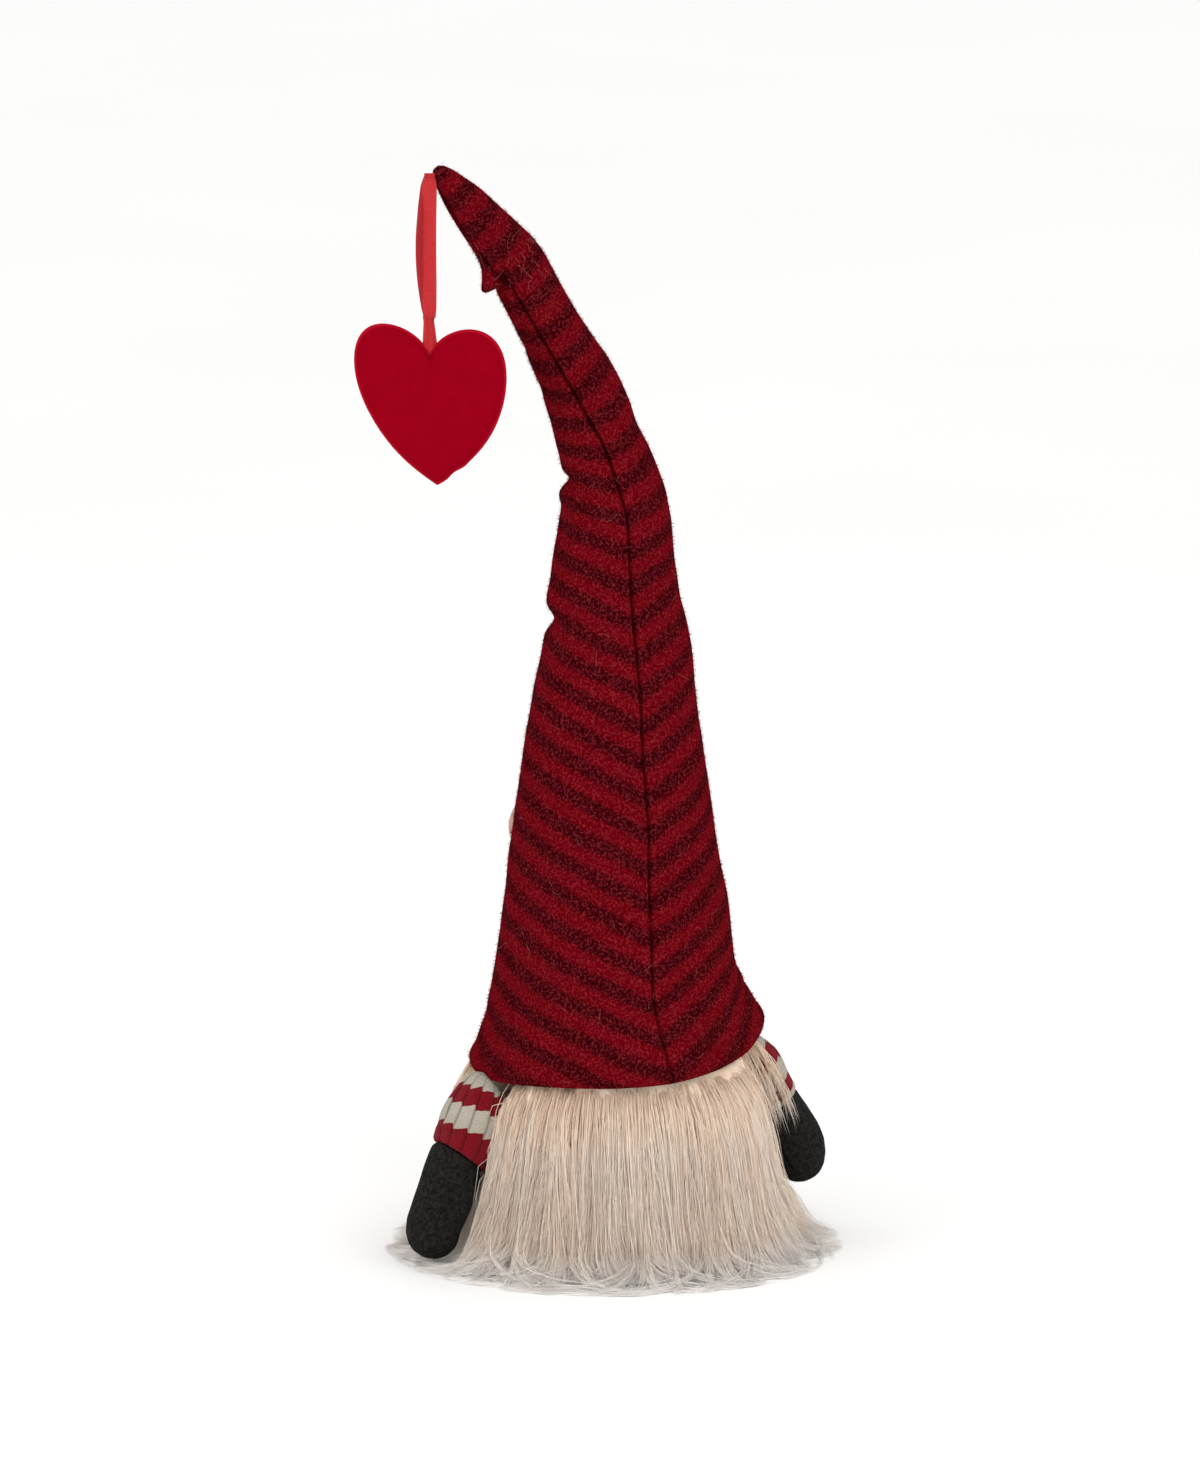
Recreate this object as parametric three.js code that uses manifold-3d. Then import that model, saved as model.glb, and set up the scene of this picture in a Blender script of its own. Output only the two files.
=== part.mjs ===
// A standing fabric gnome with a tall bendable hat, a heart hanging from the hat's tip,
// two stuffed arms, a long-pile fur body and a battery light in its foot.
// Millimetres, +Z up. The origin is the middle of the foot's underside, the face looks along -Y,
// and the gnome's left hand is at +X.

import * as THREE from "three";
import { mergeVertices } from "three/addons/utils/BufferGeometryUtils.js";
import Module from "manifold-3d";

const wasm = await Module();
wasm.setup();

// ---------- driving dimensions ----------

const GAP = 0.3; // left between touching pieces
const REST_GAP = 0.1; // left under a rigid piece that rests on another
const ROUND = 36; // facets round a large turned piece
const SMALL_ROUND = 14; // facets round a small one

// foot
const FOOT_R = 50;
const FOOT_H = 22;
const FOOT_WALL = 2;
const FOOT_FLOOR = 2.4;
const COVER_T = 2.4;
const DECK_Z = FOOT_H + REST_GAP + COVER_T; // top of the cover plate
const SCREW_PLACES = [
  [30, 22],
  [-30, 22],
  [34, -18],
  [-34, -18],
];
const BOSS_R = 3.2;
const PILOT_R = 1.35;
const PILOT_Z = 8; // bottom of a screw's pilot hole
const SCREW_R = 1.25;
const SCREW_TIP_Z = 10;
const SCREW_HEAD_R = 2.4;
const SCREW_HOLE_R = 1.6;
const LEAD_HOLE_R = 3; // in the cover plate, for both wires
const LEAD_HOLE_Y = 19;

// battery bay for two AA cells lying along X, side by side
const CELL_R = 7.2;
const CELL_BODY = 49.2;
const CELL_NUB = 1;
const CELL_PITCH = 14.8;
const BAY_X = 27.2; // half length inside
const BAY_Y0 = -35.3;
const BAY_Y1 = -5.7;
const BAY_WALL = 1.8;
const BAY_ROOF_Z = 18;
const DOOR_RECESS = 1.6;
const DOOR_T = 1;
const DOOR_Z = 0.3; // underside of the door, just above the resting plane
const DOOR_HINGE_Y = -36;
const DOOR_HINGE_Z = DOOR_Z + 0.4;
const HINGE_PIN_R = 0.35;

// slide switch in the foot's underside
const SWITCH_Y = 25;
const SWITCH_SLOT_X = 5;
const SWITCH_SLOT_Y = 2;
const SWITCH_BODY_X = 7.5;
const SWITCH_BODY_Y = 5;
const SWITCH_BODY_H = 6.5;
const KNOB_HALF_Y = 1.6;
const KNOB_Z0 = 0.6;
const KNOB_Z1 = 2.3;
const KNOB_LENGTH = 5.3;
const KNOB_REST_X = -4.7;

// light on the deck
const BOARD_X = 20;
const BOARD_Y = 16;
const BOARD_T = 1.6;
const LAMP_PLACES = [
  [0, 8],
  [-8, -5],
  [8, -5],
];
const LEAD_R = 0.6; // of an insulated wire

// body
const SHELL_R = 44;
const SHELL_TOP_R = 31;
const SHELL_SHOULDER_Z = 110;
const SHELL_TOP_Z = 158;
const SHELL_T = 2;
const SOCKET_R = 5;
const SOCKET_TOP_Z = 178;
const WIRE_R = 1.5;
const WIRE_HOLE_R = 1.9;
const BACKING_T = 1.5;

// fur
const FUR_TOP_Z = 83.5;
const FUR_BOTTOM_Z = 1;
const FUR_TOP_R = 65;
const FUR_FOOT_R = 98;
const BEARD_TOP_Z = 187;
const BEARD_TOP_R = 57;
const ARM_MARGIN = 1.2; // kept clear of the fur round an arm

// hat: lengths are measured along its middle line from the floor
const BRIM_Z = 84;
const BRIM_R = 66;
const FELT_T = 2;
const FLARE_TOP = 113; // the brim flares out below this
const FLARE_TOP_R = 57.6;
const CONE_TOP = 336;
const CONE_TOP_R = 24.7;
const BEND_START = 328; // the hat is straight below this
const BEND_RADIUS = 145;
const BEND_ANGLE = THREE.MathUtils.degToRad(29);
const TIP_ANGLE = THREE.MathUtils.degToRad(40); // from the vertical, past the fold
const FOLD_AT = 450; // length along the middle line where the tip folds over
const TIP_LENGTH = 73;
const HAT_WIRE_LOWER_END = 323;
const HAT_WIRE_MIDDLE = [327, 437];
const HAT_WIRE_TIP = [-7.5, 58]; // from the fold

// front opening of the hat, an arch on spread legs, seen along Y
const ARCH_R = 15;
const ARCH_Z = 176;
const ARCH_FOOT_X = 56;
const ARCH_FOOT_Z = 80;

// nose
const NOSE_R = 17;
const NOSE_Y = -66;
const NOSE_Z = 180;

// arms: the shoulder dome turns about its own middle, just under the brim
const SHOULDER_R = 9.5;
const ARM_R = 13.8;
const CUFF_AT = 31.5; // along the arm from the shoulder's middle
const ARM_LENGTH = 74;
const LEFT_ARM = { x: 68.5, z: 74, tilt: 22 };
const RIGHT_ARM = { x: -63, z: 86, tilt: -30 };
const ARM_LIFT = 50; // degrees that an arm can be lifted outward

// heart on its ribbon
const HANG_X = 92.5;
const HANG_TOP_Z = 492;
const HEART_TURN = THREE.MathUtils.degToRad(-28); // the heart's plane against the XZ plane
const HEART_W = 67;
const HEART_NOTCH_Z = 411.5;
const HEART_TIP_Z = 354;
const HEART_LOBE_RISE = 15.2; // of the lobes above the notch
const HEART_WIDEST = -5.5; // where it is widest, from the notch
const HEART_FELT = 2;
const HEART_FILL = 4;
const HEART_SEAM = 5; // felt round the filling
const RIBBON_W = 6.5;
const RIBBON_T = 0.6;
const RIBBON_END_Z = 429;
const GATHER_NECK_Z = 423; // where the ribbon is pinched over the notch
const LEFT_BULGE = 3.1; // of each strand to the side, halfway down
const RIGHT_BULGE = 0.3;
const STRAND_APART = 0.7; // of each strand from the heart's plane

// ---------- materials ----------

const surface = (color, roughness, metalness = 0) =>
  new THREE.MeshStandardMaterial({ color, roughness, metalness });
const HAT_FELT = surface(0x640a16, 0.95);
const HEART_RED = surface(0x99021b, 0.9);
const RIBBON_RED = surface(0xc52c30, 0.45);
const KNIT = surface(0xb03a40, 0.95);
const MITTEN_GREY = surface(0x33322f, 0.95);
const FUR_CREAM = surface(0xc8b09e, 0.9);
const NOSE_SKIN = surface(0xb09c8e, 0.85);
const BACKING = surface(0xd8d2c6, 0.9);
const FILLING = surface(0xf2f0ec, 1);
const FROSTED = surface(0xf4efe6, 0.5);
const WHITE_PLASTIC = surface(0xe6e4df, 0.45);
const BLACK_PLASTIC = surface(0x1c1c1e, 0.4);
const STEEL = surface(0xb9bbbe, 0.3, 1);
const CELL_WRAP = surface(0x3b5f7d, 0.35);
const BOARD_GREEN = surface(0x1f5b38, 0.5);
const LED_CLEAR = surface(0xffe2b0, 0.15);
const WIRE_RED = surface(0xb01818, 0.5);
const WIRE_BLACK = surface(0x161616, 0.5);

// ---------- shared shape tools ----------

// A closed geometry as a solid for cutting and joining.
function solid(geometry) {
  const bare = geometry.clone();
  bare.deleteAttribute("normal");
  bare.deleteAttribute("uv");
  const merged = mergeVertices(bare, 1e-4);
  return new wasm.Manifold(
    new wasm.Mesh({
      numProp: 3,
      vertProperties: merged.attributes.position.array,
      triVerts: new Uint32Array(merged.index.array),
    }),
  );
}

function geometryOf(body) {
  const mesh = body.getMesh();
  const geometry = new THREE.BufferGeometry();
  geometry.setAttribute("position", new THREE.BufferAttribute(mesh.vertProperties, 3));
  geometry.setIndex(new THREE.BufferAttribute(mesh.triVerts, 1));
  return geometry;
}

// Turns a profile of [radius, z] points about Z. It runs anticlockwise with Z up, so that its
// faces point out, and it starts and ends on the axis or closes on itself.
function turned(profile, facets = ROUND) {
  const points = profile.map(([r, z]) => new THREE.Vector2(r, z));
  return new THREE.LatheGeometry(points, facets).rotateX(Math.PI / 2);
}

// A turned ring: its outside from the bottom up, then its inside from the top down.
const ring = (outside, inside, facets) => turned([...outside, ...inside, outside[0]], facets);

function box(x0, x1, y0, y1, z0, z1) {
  const geometry = new THREE.BoxGeometry(x1 - x0, y1 - y0, z1 - z0);
  return geometry.translate((x0 + x1) / 2, (y0 + y1) / 2, (z0 + z1) / 2);
}

function post(radius, z0, z1, x = 0, y = 0, facets = SMALL_ROUND) {
  const geometry = new THREE.CylinderGeometry(radius, radius, z1 - z0, facets);
  return geometry.rotateX(Math.PI / 2).translate(x, y, (z0 + z1) / 2);
}

// A section swept along a smooth curve through the points.
function swept(section, points, steps) {
  const extrudePath = new THREE.CatmullRomCurve3(points);
  return new THREE.ExtrudeGeometry(section, { steps, extrudePath, curveSegments: 8 });
}

function disc(radius, sides) {
  const corner = (i) => (2 * Math.PI * i) / sides;
  const points = Array.from(
    { length: sides },
    (_, i) => new THREE.Vector2(radius * Math.cos(corner(i)), radius * Math.sin(corner(i))),
  );
  return new THREE.Shape(points);
}

const at = (x, y, z) => new THREE.Vector3(x, y, z);

// ---------- the hat's middle line ----------

// Where the middle line is at a length s, and how far it leans from the vertical there.
function middleLine(s) {
  const angle = Math.min(Math.max((s - BEND_START) / BEND_RADIUS, 0), BEND_ANGLE);
  const straight = s - BEND_START - BEND_RADIUS * angle;
  const lean = Math.max(straight, 0);
  return {
    x: BEND_RADIUS * (1 - Math.cos(angle)) + lean * Math.sin(angle),
    z: Math.min(s, BEND_START) + BEND_RADIUS * Math.sin(angle) + lean * Math.cos(angle),
    angle,
  };
}

// Moves a piece turned about Z so that its axis follows the middle line.
function bent(geometry) {
  const p = geometry.attributes.position;
  for (let i = 0; i < p.count; i += 1) {
    const line = middleLine(p.getZ(i));
    const across = p.getX(i);
    const x = line.x + across * Math.cos(line.angle);
    const z = line.z - across * Math.sin(line.angle);
    p.setXYZ(i, x, p.getY(i), z);
  }
  return geometry;
}

const FOLD = middleLine(FOLD_AT);

// ---------- foot ----------

function footHousing() {
  const bayLow = [-BAY_X - BAY_WALL, BAY_Y0 - BAY_WALL];
  const bayHigh = [BAY_X + BAY_WALL, BAY_Y1 + BAY_WALL];
  let body = solid(post(FOOT_R, 0, FOOT_H, 0, 0, ROUND));
  body = body.subtract(solid(post(FOOT_R - FOOT_WALL, FOOT_FLOOR, FOOT_H + 1, 0, 0, ROUND)));
  const roof = BAY_ROOF_Z + BAY_WALL;
  body = body.add(solid(box(bayLow[0], bayHigh[0], bayLow[1], bayHigh[1], 1, roof)));
  for (const [x, y] of SCREW_PLACES) {
    body = body.add(solid(post(BOSS_R, 1, FOOT_H, x, y)));
    body = body.subtract(solid(post(PILOT_R, PILOT_Z, FOOT_H + 1, x, y)));
  }
  body = body.subtract(solid(box(-BAY_X, BAY_X, BAY_Y0, BAY_Y1, -1, BAY_ROOF_Z)));
  const recess = box(bayLow[0], bayHigh[0], bayLow[1], bayHigh[1], -1, DOOR_RECESS);
  body = body.subtract(solid(recess));
  body = body.subtract(solid(hingePin(HINGE_PIN_R + 0.08, BAY_X + BAY_WALL + 1.4)));
  const [slotY0, slotY1] = [SWITCH_Y - SWITCH_SLOT_Y, SWITCH_Y + SWITCH_SLOT_Y];
  const slot = box(-SWITCH_SLOT_X, SWITCH_SLOT_X, slotY0, slotY1, -1, FOOT_FLOOR + 1);
  return geometryOf(body.subtract(solid(slot)));
}

// The door's hinge pin, a thin rod along X.
function hingePin(radius, halfLength) {
  const rod = new THREE.CylinderGeometry(radius, radius, 2 * halfLength, 10);
  return rod.rotateZ(Math.PI / 2).translate(0, DOOR_HINGE_Y, DOOR_HINGE_Z);
}

function batteryDoor() {
  const halfX = BAY_X + BAY_WALL - 0.4;
  const y0 = DOOR_HINGE_Y - 0.5;
  const y1 = BAY_Y1 + BAY_WALL - 0.4;
  const plate = solid(box(-halfX, halfX, y0, y1, DOOR_Z, DOOR_Z + DOOR_T));
  const nailGrip = solid(box(-6, 6, y1 - 4, y1 - 2.5, DOOR_Z - 0.5, DOOR_Z + 0.5));
  const pin = solid(hingePin(HINGE_PIN_R, halfX + 1.4));
  return geometryOf(plate.subtract(nailGrip).add(pin));
}

function coverPlate() {
  let plate = solid(post(FOOT_R, FOOT_H + REST_GAP, DECK_Z, 0, 0, ROUND));
  for (const [x, y] of SCREW_PLACES) {
    plate = plate.subtract(solid(post(SCREW_HOLE_R, FOOT_H - 1, DECK_Z + 1, x, y)));
  }
  const leadHole = solid(post(LEAD_HOLE_R, FOOT_H - 1, DECK_Z + 1, 0, LEAD_HOLE_Y));
  return geometryOf(plate.subtract(leadHole));
}

// A pan-head screw whose head sits on the cover plate.
function screw() {
  const head = DECK_Z + REST_GAP;
  const point = [[0, SCREW_TIP_Z], [0.7 * SCREW_R, SCREW_TIP_Z + 0.8]];
  const thread = [[SCREW_R, SCREW_TIP_Z + 2], [SCREW_R, head]];
  const pan = [[SCREW_HEAD_R, head], [SCREW_HEAD_R - 0.2, head + 1.2], [0, head + 1.6]];
  return turned([...point, ...thread, ...pan], 12);
}

// An AA cell along X with its button at the +X end.
function cell() {
  const body = turned([
    [0, 0],
    [CELL_R - 0.5, 0],
    [CELL_R, 0.5],
    [CELL_R, CELL_BODY - 0.5],
    [CELL_R - 0.5, CELL_BODY],
    [2.7, CELL_BODY],
    [2.7, CELL_BODY + CELL_NUB],
    [0, CELL_BODY + CELL_NUB],
  ], 18);
  return body.rotateY(Math.PI / 2).translate(BAY_X - 0.7 - CELL_NUB - CELL_BODY, 0, 0);
}

// A conical contact spring at the bay's -X end, about the cell's axis.
function contactSpring() {
  const turns = 2.5;
  const length = 2.2;
  const points = [];
  for (let i = 0; i <= turns * 8; i += 1) {
    const share = i / (turns * 8);
    const angle = 2 * Math.PI * turns * share;
    const radius = 4.6 - 1.8 * share;
    const x = -BAY_X + 0.5 + length * share;
    points.push(at(x, radius * Math.cos(angle), radius * Math.sin(angle)));
  }
  return swept(disc(0.3, 5), points, points.length);
}

function switchBody() {
  const z = FOOT_FLOOR + REST_GAP;
  const [y0, y1] = [SWITCH_Y - SWITCH_BODY_Y, SWITCH_Y + SWITCH_BODY_Y];
  return box(-SWITCH_BODY_X, SWITCH_BODY_X, y0, y1, z, z + SWITCH_BODY_H);
}

function switchKnob() {
  const [y0, y1] = [SWITCH_Y - KNOB_HALF_Y, SWITCH_Y + KNOB_HALF_Y];
  return box(KNOB_REST_X, KNOB_REST_X + KNOB_LENGTH, y0, y1, KNOB_Z0, KNOB_Z1);
}

// An insulated wire from the battery bay through the cover plate's hole to the board.
function lead(side) {
  const holeX = 1.4 * side;
  const route = [
    at(BOARD_X * side, BAY_Y1 + BAY_WALL + GAP, 12),
    at(16 * side, 7, 13),
    at(6 * side, 16, 14),
    at(holeX, LEAD_HOLE_Y - 0.2, 18),
    at(holeX, LEAD_HOLE_Y - 0.4, DECK_Z - 0.5),
    at(holeX, BOARD_Y + 0.4, DECK_Z + 1),
  ];
  return swept(disc(LEAD_R, 6), route, 16);
}

// A round 5 mm lamp with its flange on the board.
function lamp() {
  return turned([[0, 0], [2.9, 0], [2.9, 1], [2.5, 1], [2.5, 5.5], [1.8, 7.3], [0, 8]], 16);
}

// ---------- body ----------

function bodyShell() {
  return turned([
    [0, SHELL_TOP_Z + 6],
    [SHELL_TOP_R - SHELL_T, SHELL_TOP_Z - 1],
    [SHELL_R - 1 - SHELL_T, SHELL_SHOULDER_Z],
    [SHELL_R - SHELL_T, DECK_Z + REST_GAP],
    [SHELL_R, DECK_Z + REST_GAP],
    [SHELL_R - 1, SHELL_SHOULDER_Z],
    [SHELL_TOP_R, SHELL_TOP_Z],
    [SOCKET_R, SHELL_TOP_Z + 8],
    [SOCKET_R, SOCKET_TOP_Z],
    [WIRE_HOLE_R, SOCKET_TOP_Z],
    [WIRE_HOLE_R, SHELL_TOP_Z + 10],
    [0, SHELL_TOP_Z + 10],
  ]);
}

function furBacking() {
  const inner = [
    [SHELL_TOP_R + GAP + 0.2, SHELL_TOP_Z],
    [SHELL_R - 1 + GAP, SHELL_SHOULDER_Z],
    [SHELL_R + GAP, DECK_Z + 1],
  ];
  const outer = inner.map(([r, z]) => [r + BACKING_T, z]).reverse();
  return ring(outer, inner);
}

// The opening's outline grown or shrunk by a margin, pushed along Y through the hat's front.
function archPrism(margin, footZ, footX) {
  const shape = new THREE.Shape();
  shape.moveTo(-footX - margin, footZ);
  shape.lineTo(footX + margin, footZ);
  shape.lineTo(ARCH_FOOT_X + margin, ARCH_FOOT_Z);
  shape.absarc(0, ARCH_Z, ARCH_R + margin, 0, Math.PI, false);
  shape.lineTo(-ARCH_FOOT_X - margin, ARCH_FOOT_Z);
  const prism = new THREE.ExtrudeGeometry(shape, { depth: 105, bevelEnabled: false, curveSegments: 8 });
  return solid(prism.rotateX(Math.PI / 2).translate(0, -8, 0));
}

const FUR_INSIDE = [
  [SHELL_R + BACKING_T + 2 * GAP, FUR_TOP_Z],
  [SHELL_R + BACKING_T + 2 * GAP, DECK_Z + 2.5],
  [FOOT_R + GAP, DECK_Z + 0.5],
  [FOOT_R + GAP, FUR_BOTTOM_Z],
];

function furSkirt() {
  const outside = [
    [FUR_FOOT_R, FUR_BOTTOM_Z],
    [FUR_FOOT_R - 1, FUR_BOTTOM_Z + 2],
    [85, 10],
    [78, 30],
    [73, 60],
    [FUR_TOP_R, FUR_TOP_Z],
  ];
  const fur = solid(ring(outside, FUR_INSIDE)).subtract(archPrism(1, -5, ARCH_FOOT_X));
  return geometryOf(clearOfArms(fur));
}

// Makes room in the fur for both arms, at rest and as they are lifted.
function clearOfArms(fur) {
  let cleared = fur;
  for (const arm of [LEFT_ARM, RIGHT_ARM]) {
    for (const lift of [0, ARM_LIFT / 2, ARM_LIFT]) {
      const raised = { ...arm, tilt: arm.tilt + Math.sign(arm.x) * lift };
      cleared = cleared.subtract(solid(placedArm(armOutline(ARM_MARGIN), raised)));
    }
  }
  return cleared;
}

function beard() {
  const outside = [
    [FUR_FOOT_R, FUR_BOTTOM_Z],
    [FUR_FOOT_R - 1, FUR_BOTTOM_Z + 2],
    [86, 14],
    [80, 50],
    [74, 100],
    [66, 150],
    [BEARD_TOP_R, BEARD_TOP_Z],
  ];
  const inside = [
    [36, BEARD_TOP_Z],
    [38, 150],
    [SHELL_R + BACKING_T + 2 * GAP, 104],
    ...FUR_INSIDE.slice(1),
  ];
  const pile = solid(ring(outside, inside)).intersect(archPrism(-0.6, -5, ARCH_FOOT_X));
  return geometryOf(clearOfArms(pile.subtract(solid(ball(NOSE_R + GAP + 0.3)))));
}

function ball(radius) {
  return new THREE.SphereGeometry(radius, 20, 12).translate(0, NOSE_Y, NOSE_Z);
}

// ---------- hat ----------

// The cone's outer radius above the flared brim.
function coneRadius(s) {
  const share = (s - FLARE_TOP) / (CONE_TOP - FLARE_TOP);
  return FLARE_TOP_R + (CONE_TOP_R - FLARE_TOP_R) * share;
}

function hatCone() {
  const above = [FLARE_TOP, BEND_START, CONE_TOP].map((s) => [coneRadius(s), s]);
  const outside = [[BRIM_R, BRIM_Z], ...above];
  const inside = outside.map(([r, s]) => [r - FELT_T, s]).reverse();
  let cone = solid(bent(ring(outside, inside)));
  cone = cone.subtract(archPrism(0, BRIM_Z - 10, ARCH_FOOT_X));
  return geometryOf(cone.subtract(brimNotch()));
}

// The brim lifts over the right shoulder, which sits higher than the left one.
function brimNotch() {
  const notch = new THREE.CylinderGeometry(1, 1, 60, 24).rotateZ(Math.PI / 2);
  return solid(notch.scale(1, 28, 12.5).translate(RIGHT_ARM.x - 10, 0, BRIM_Z));
}

// The filling inside the cone, with a bore for the wire.
function lowerFilling() {
  const outside = [194, 322].map((s) => [coneRadius(s) - FELT_T - 2 * GAP, s]);
  const inside = [[WIRE_HOLE_R, 322], [WIRE_HOLE_R, 194]];
  return ring(outside, inside, ROUND);
}

// The curved part of the hat. Its lower end is a ball inside the cone's rim, so that it can lean.
function hatMiddle() {
  const outside = [
    [12, 329],
    [17, 334.5],
    [19.8, 343],
    [20.2, 352],
    [17.6, 384],
    [15.2, 414],
    [12.9, 444.5],
  ];
  const inside = outside.map(([r, s]) => [r - FELT_T + 0.4, s]).reverse();
  return bent(ring(outside, inside, 24));
}

function middleFilling() {
  const outside = [
    [15.4, 337],
    [17.4, 345],
    [17.4, 357],
    [15.3, 384],
    [11.4, 435],
  ];
  const steps = 8;
  const bore = Array.from({ length: steps + 1 }, (_, i) => [WIRE_HOLE_R, 435 - (98 * i) / steps]);
  return bent(ring(outside, bore, 16));
}

// The end of the hat, with its own Z along its axis from the fold. Its lower end is a ball too.
function hatTip() {
  return turned([
    [0, TIP_LENGTH - 2.5],
    [2.4, TIP_LENGTH - 5],
    [6, 51],
    [9, 26],
    [9.4, 8],
    [8.9, 0],
    [7.6, -4.6],
    [5, -7.6],
    [6, -8.5],
    [9, -5.2],
    [10.4, 0],
    [10.9, 8],
    [10.5, 26],
    [7.5, 51],
    [4.6, TIP_LENGTH - 6],
    [2.6, TIP_LENGTH - 1.5],
    [0, TIP_LENGTH],
  ], 20);
}

function tipFilling() {
  const outside = [[5.6, -4.6], [8.3, 0], [8.9, 8], [8.5, 26], [5.5, 51], [3.4, 61]];
  const inside = [[WIRE_HOLE_R, 61], [WIRE_HOLE_R, -4.6]];
  return ring(outside, inside, 14);
}

// A stretch of the hat's bendable wire.
function wire(s0, s1) {
  const points = [];
  for (let i = 0; i <= 6; i += 1) {
    const line = middleLine(s0 + ((s1 - s0) * i) / 6);
    points.push(at(line.x, 0, line.z));
  }
  return swept(disc(WIRE_R, 8), points, 14);
}

// ---------- arms ----------

// Profiles along the arm, with the shoulder's middle at 0 and the hand downwards.
function armOutline(margin) {
  return turned([
    [0, -ARM_LENGTH - margin],
    [7 + margin, -ARM_LENGTH + 2 - margin],
    [11.5 + margin, -ARM_LENGTH + 8],
    [13.2 + margin, -56],
    [13.2 + margin, -42],
    [ARM_R + margin, -CUFF_AT],
    [ARM_R + margin, -10],
    [11 + margin, -3],
    [SHOULDER_R + margin, 0],
    [8.4 + margin, 5],
    [5 + margin, 8.2],
    [0, SHOULDER_R + margin],
  ], 18);
}

function sleeve() {
  return turned([
    [0, -CUFF_AT],
    [ARM_R, -CUFF_AT],
    [ARM_R, -10],
    [11, -3],
    [SHOULDER_R, 0],
    [8.2, 4.8],
    [4.8, 8.2],
    [0, SHOULDER_R],
  ], 18);
}

function mitten() {
  return turned([
    [0, -ARM_LENGTH],
    [6.5, -ARM_LENGTH + 2],
    [11, -ARM_LENGTH + 8],
    [13, -56],
    [13, -42],
    [11.6, -CUFF_AT - GAP],
    [0, -CUFF_AT - GAP],
  ], 18);
}

// Leans a piece of an arm outward and moves it to its shoulder.
function placedArm(geometry, arm) {
  const lean = -THREE.MathUtils.degToRad(arm.tilt);
  return geometry.rotateY(lean).translate(arm.x, 0, arm.z);
}

// ---------- heart and ribbon ----------

// The heart's outline in its own plane, with its notch at the origin.
function heartShape(inset) {
  const half = HEART_W / 2 - inset;
  const rise = HEART_LOBE_RISE - inset;
  const tip = HEART_TIP_Z - HEART_NOTCH_Z + 1.6 * inset;
  const wide = HEART_WIDEST;
  const shape = new THREE.Shape();
  shape.moveTo(0, -inset);
  shape.bezierCurveTo(half * 0.09 + inset, rise * 0.95, half, rise * 1.58, half, wide);
  shape.bezierCurveTo(half, tip * 0.46, half * 0.58, tip * 0.78, 0, tip);
  shape.bezierCurveTo(-half * 0.58, tip * 0.78, -half, tip * 0.46, -half, wide);
  shape.bezierCurveTo(-half, rise * 1.58, -half * 0.09 - inset, rise * 0.95, 0, -inset);
  return shape;
}

// A plate of the heart's outline between two distances from its middle plane.
function heartPlate(inset, near, far) {
  const options = { depth: far - near, bevelEnabled: false, curveSegments: 10 };
  const plate = new THREE.ExtrudeGeometry(heartShape(inset), options);
  return plate.rotateX(Math.PI / 2).translate(0, -near, 0);
}

// One strand of the ribbon loop, bulging sideways and standing off the heart's plane.
function ribbonStrand(bulge, standOff) {
  const drop = HANG_TOP_Z - RIBBON_END_Z;
  const section = new THREE.Shape();
  section.moveTo(-RIBBON_T / 2, -RIBBON_W / 2);
  section.lineTo(RIBBON_T / 2, -RIBBON_W / 2);
  section.lineTo(RIBBON_T / 2, RIBBON_W / 2);
  section.lineTo(-RIBBON_T / 2, RIBBON_W / 2);
  const points = [0, 0.25, 0.5, 0.75, 1].map((share) => {
    const swell = Math.sin(Math.PI * share);
    return at(bulge * swell, standOff, HANG_TOP_Z - drop * share);
  });
  return swept(section, points, 14);
}

// Stands a piece made about the Z axis on the heart's hanging line, turned to its plane.
const onHangingLine = (geometry) => geometry.rotateZ(HEART_TURN).translate(HANG_X, 0, 0);

function ribbonGather() {
  const low = HEART_NOTCH_Z + 0.8;
  const high = RIBBON_END_Z - 0.5;
  const profile = [[0, low], [3.4, low], [2.4, GATHER_NECK_Z], [2, high], [0, high]];
  return turned(profile, 16).scale(1, 0.5, 1);
}

// ---------- assembly ----------

const gnome = new THREE.Group();

function addMesh(group, name, geometry, material) {
  const mesh = new THREE.Mesh(geometry, material);
  mesh.name = name;
  group.add(mesh);
  return mesh;
}

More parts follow.
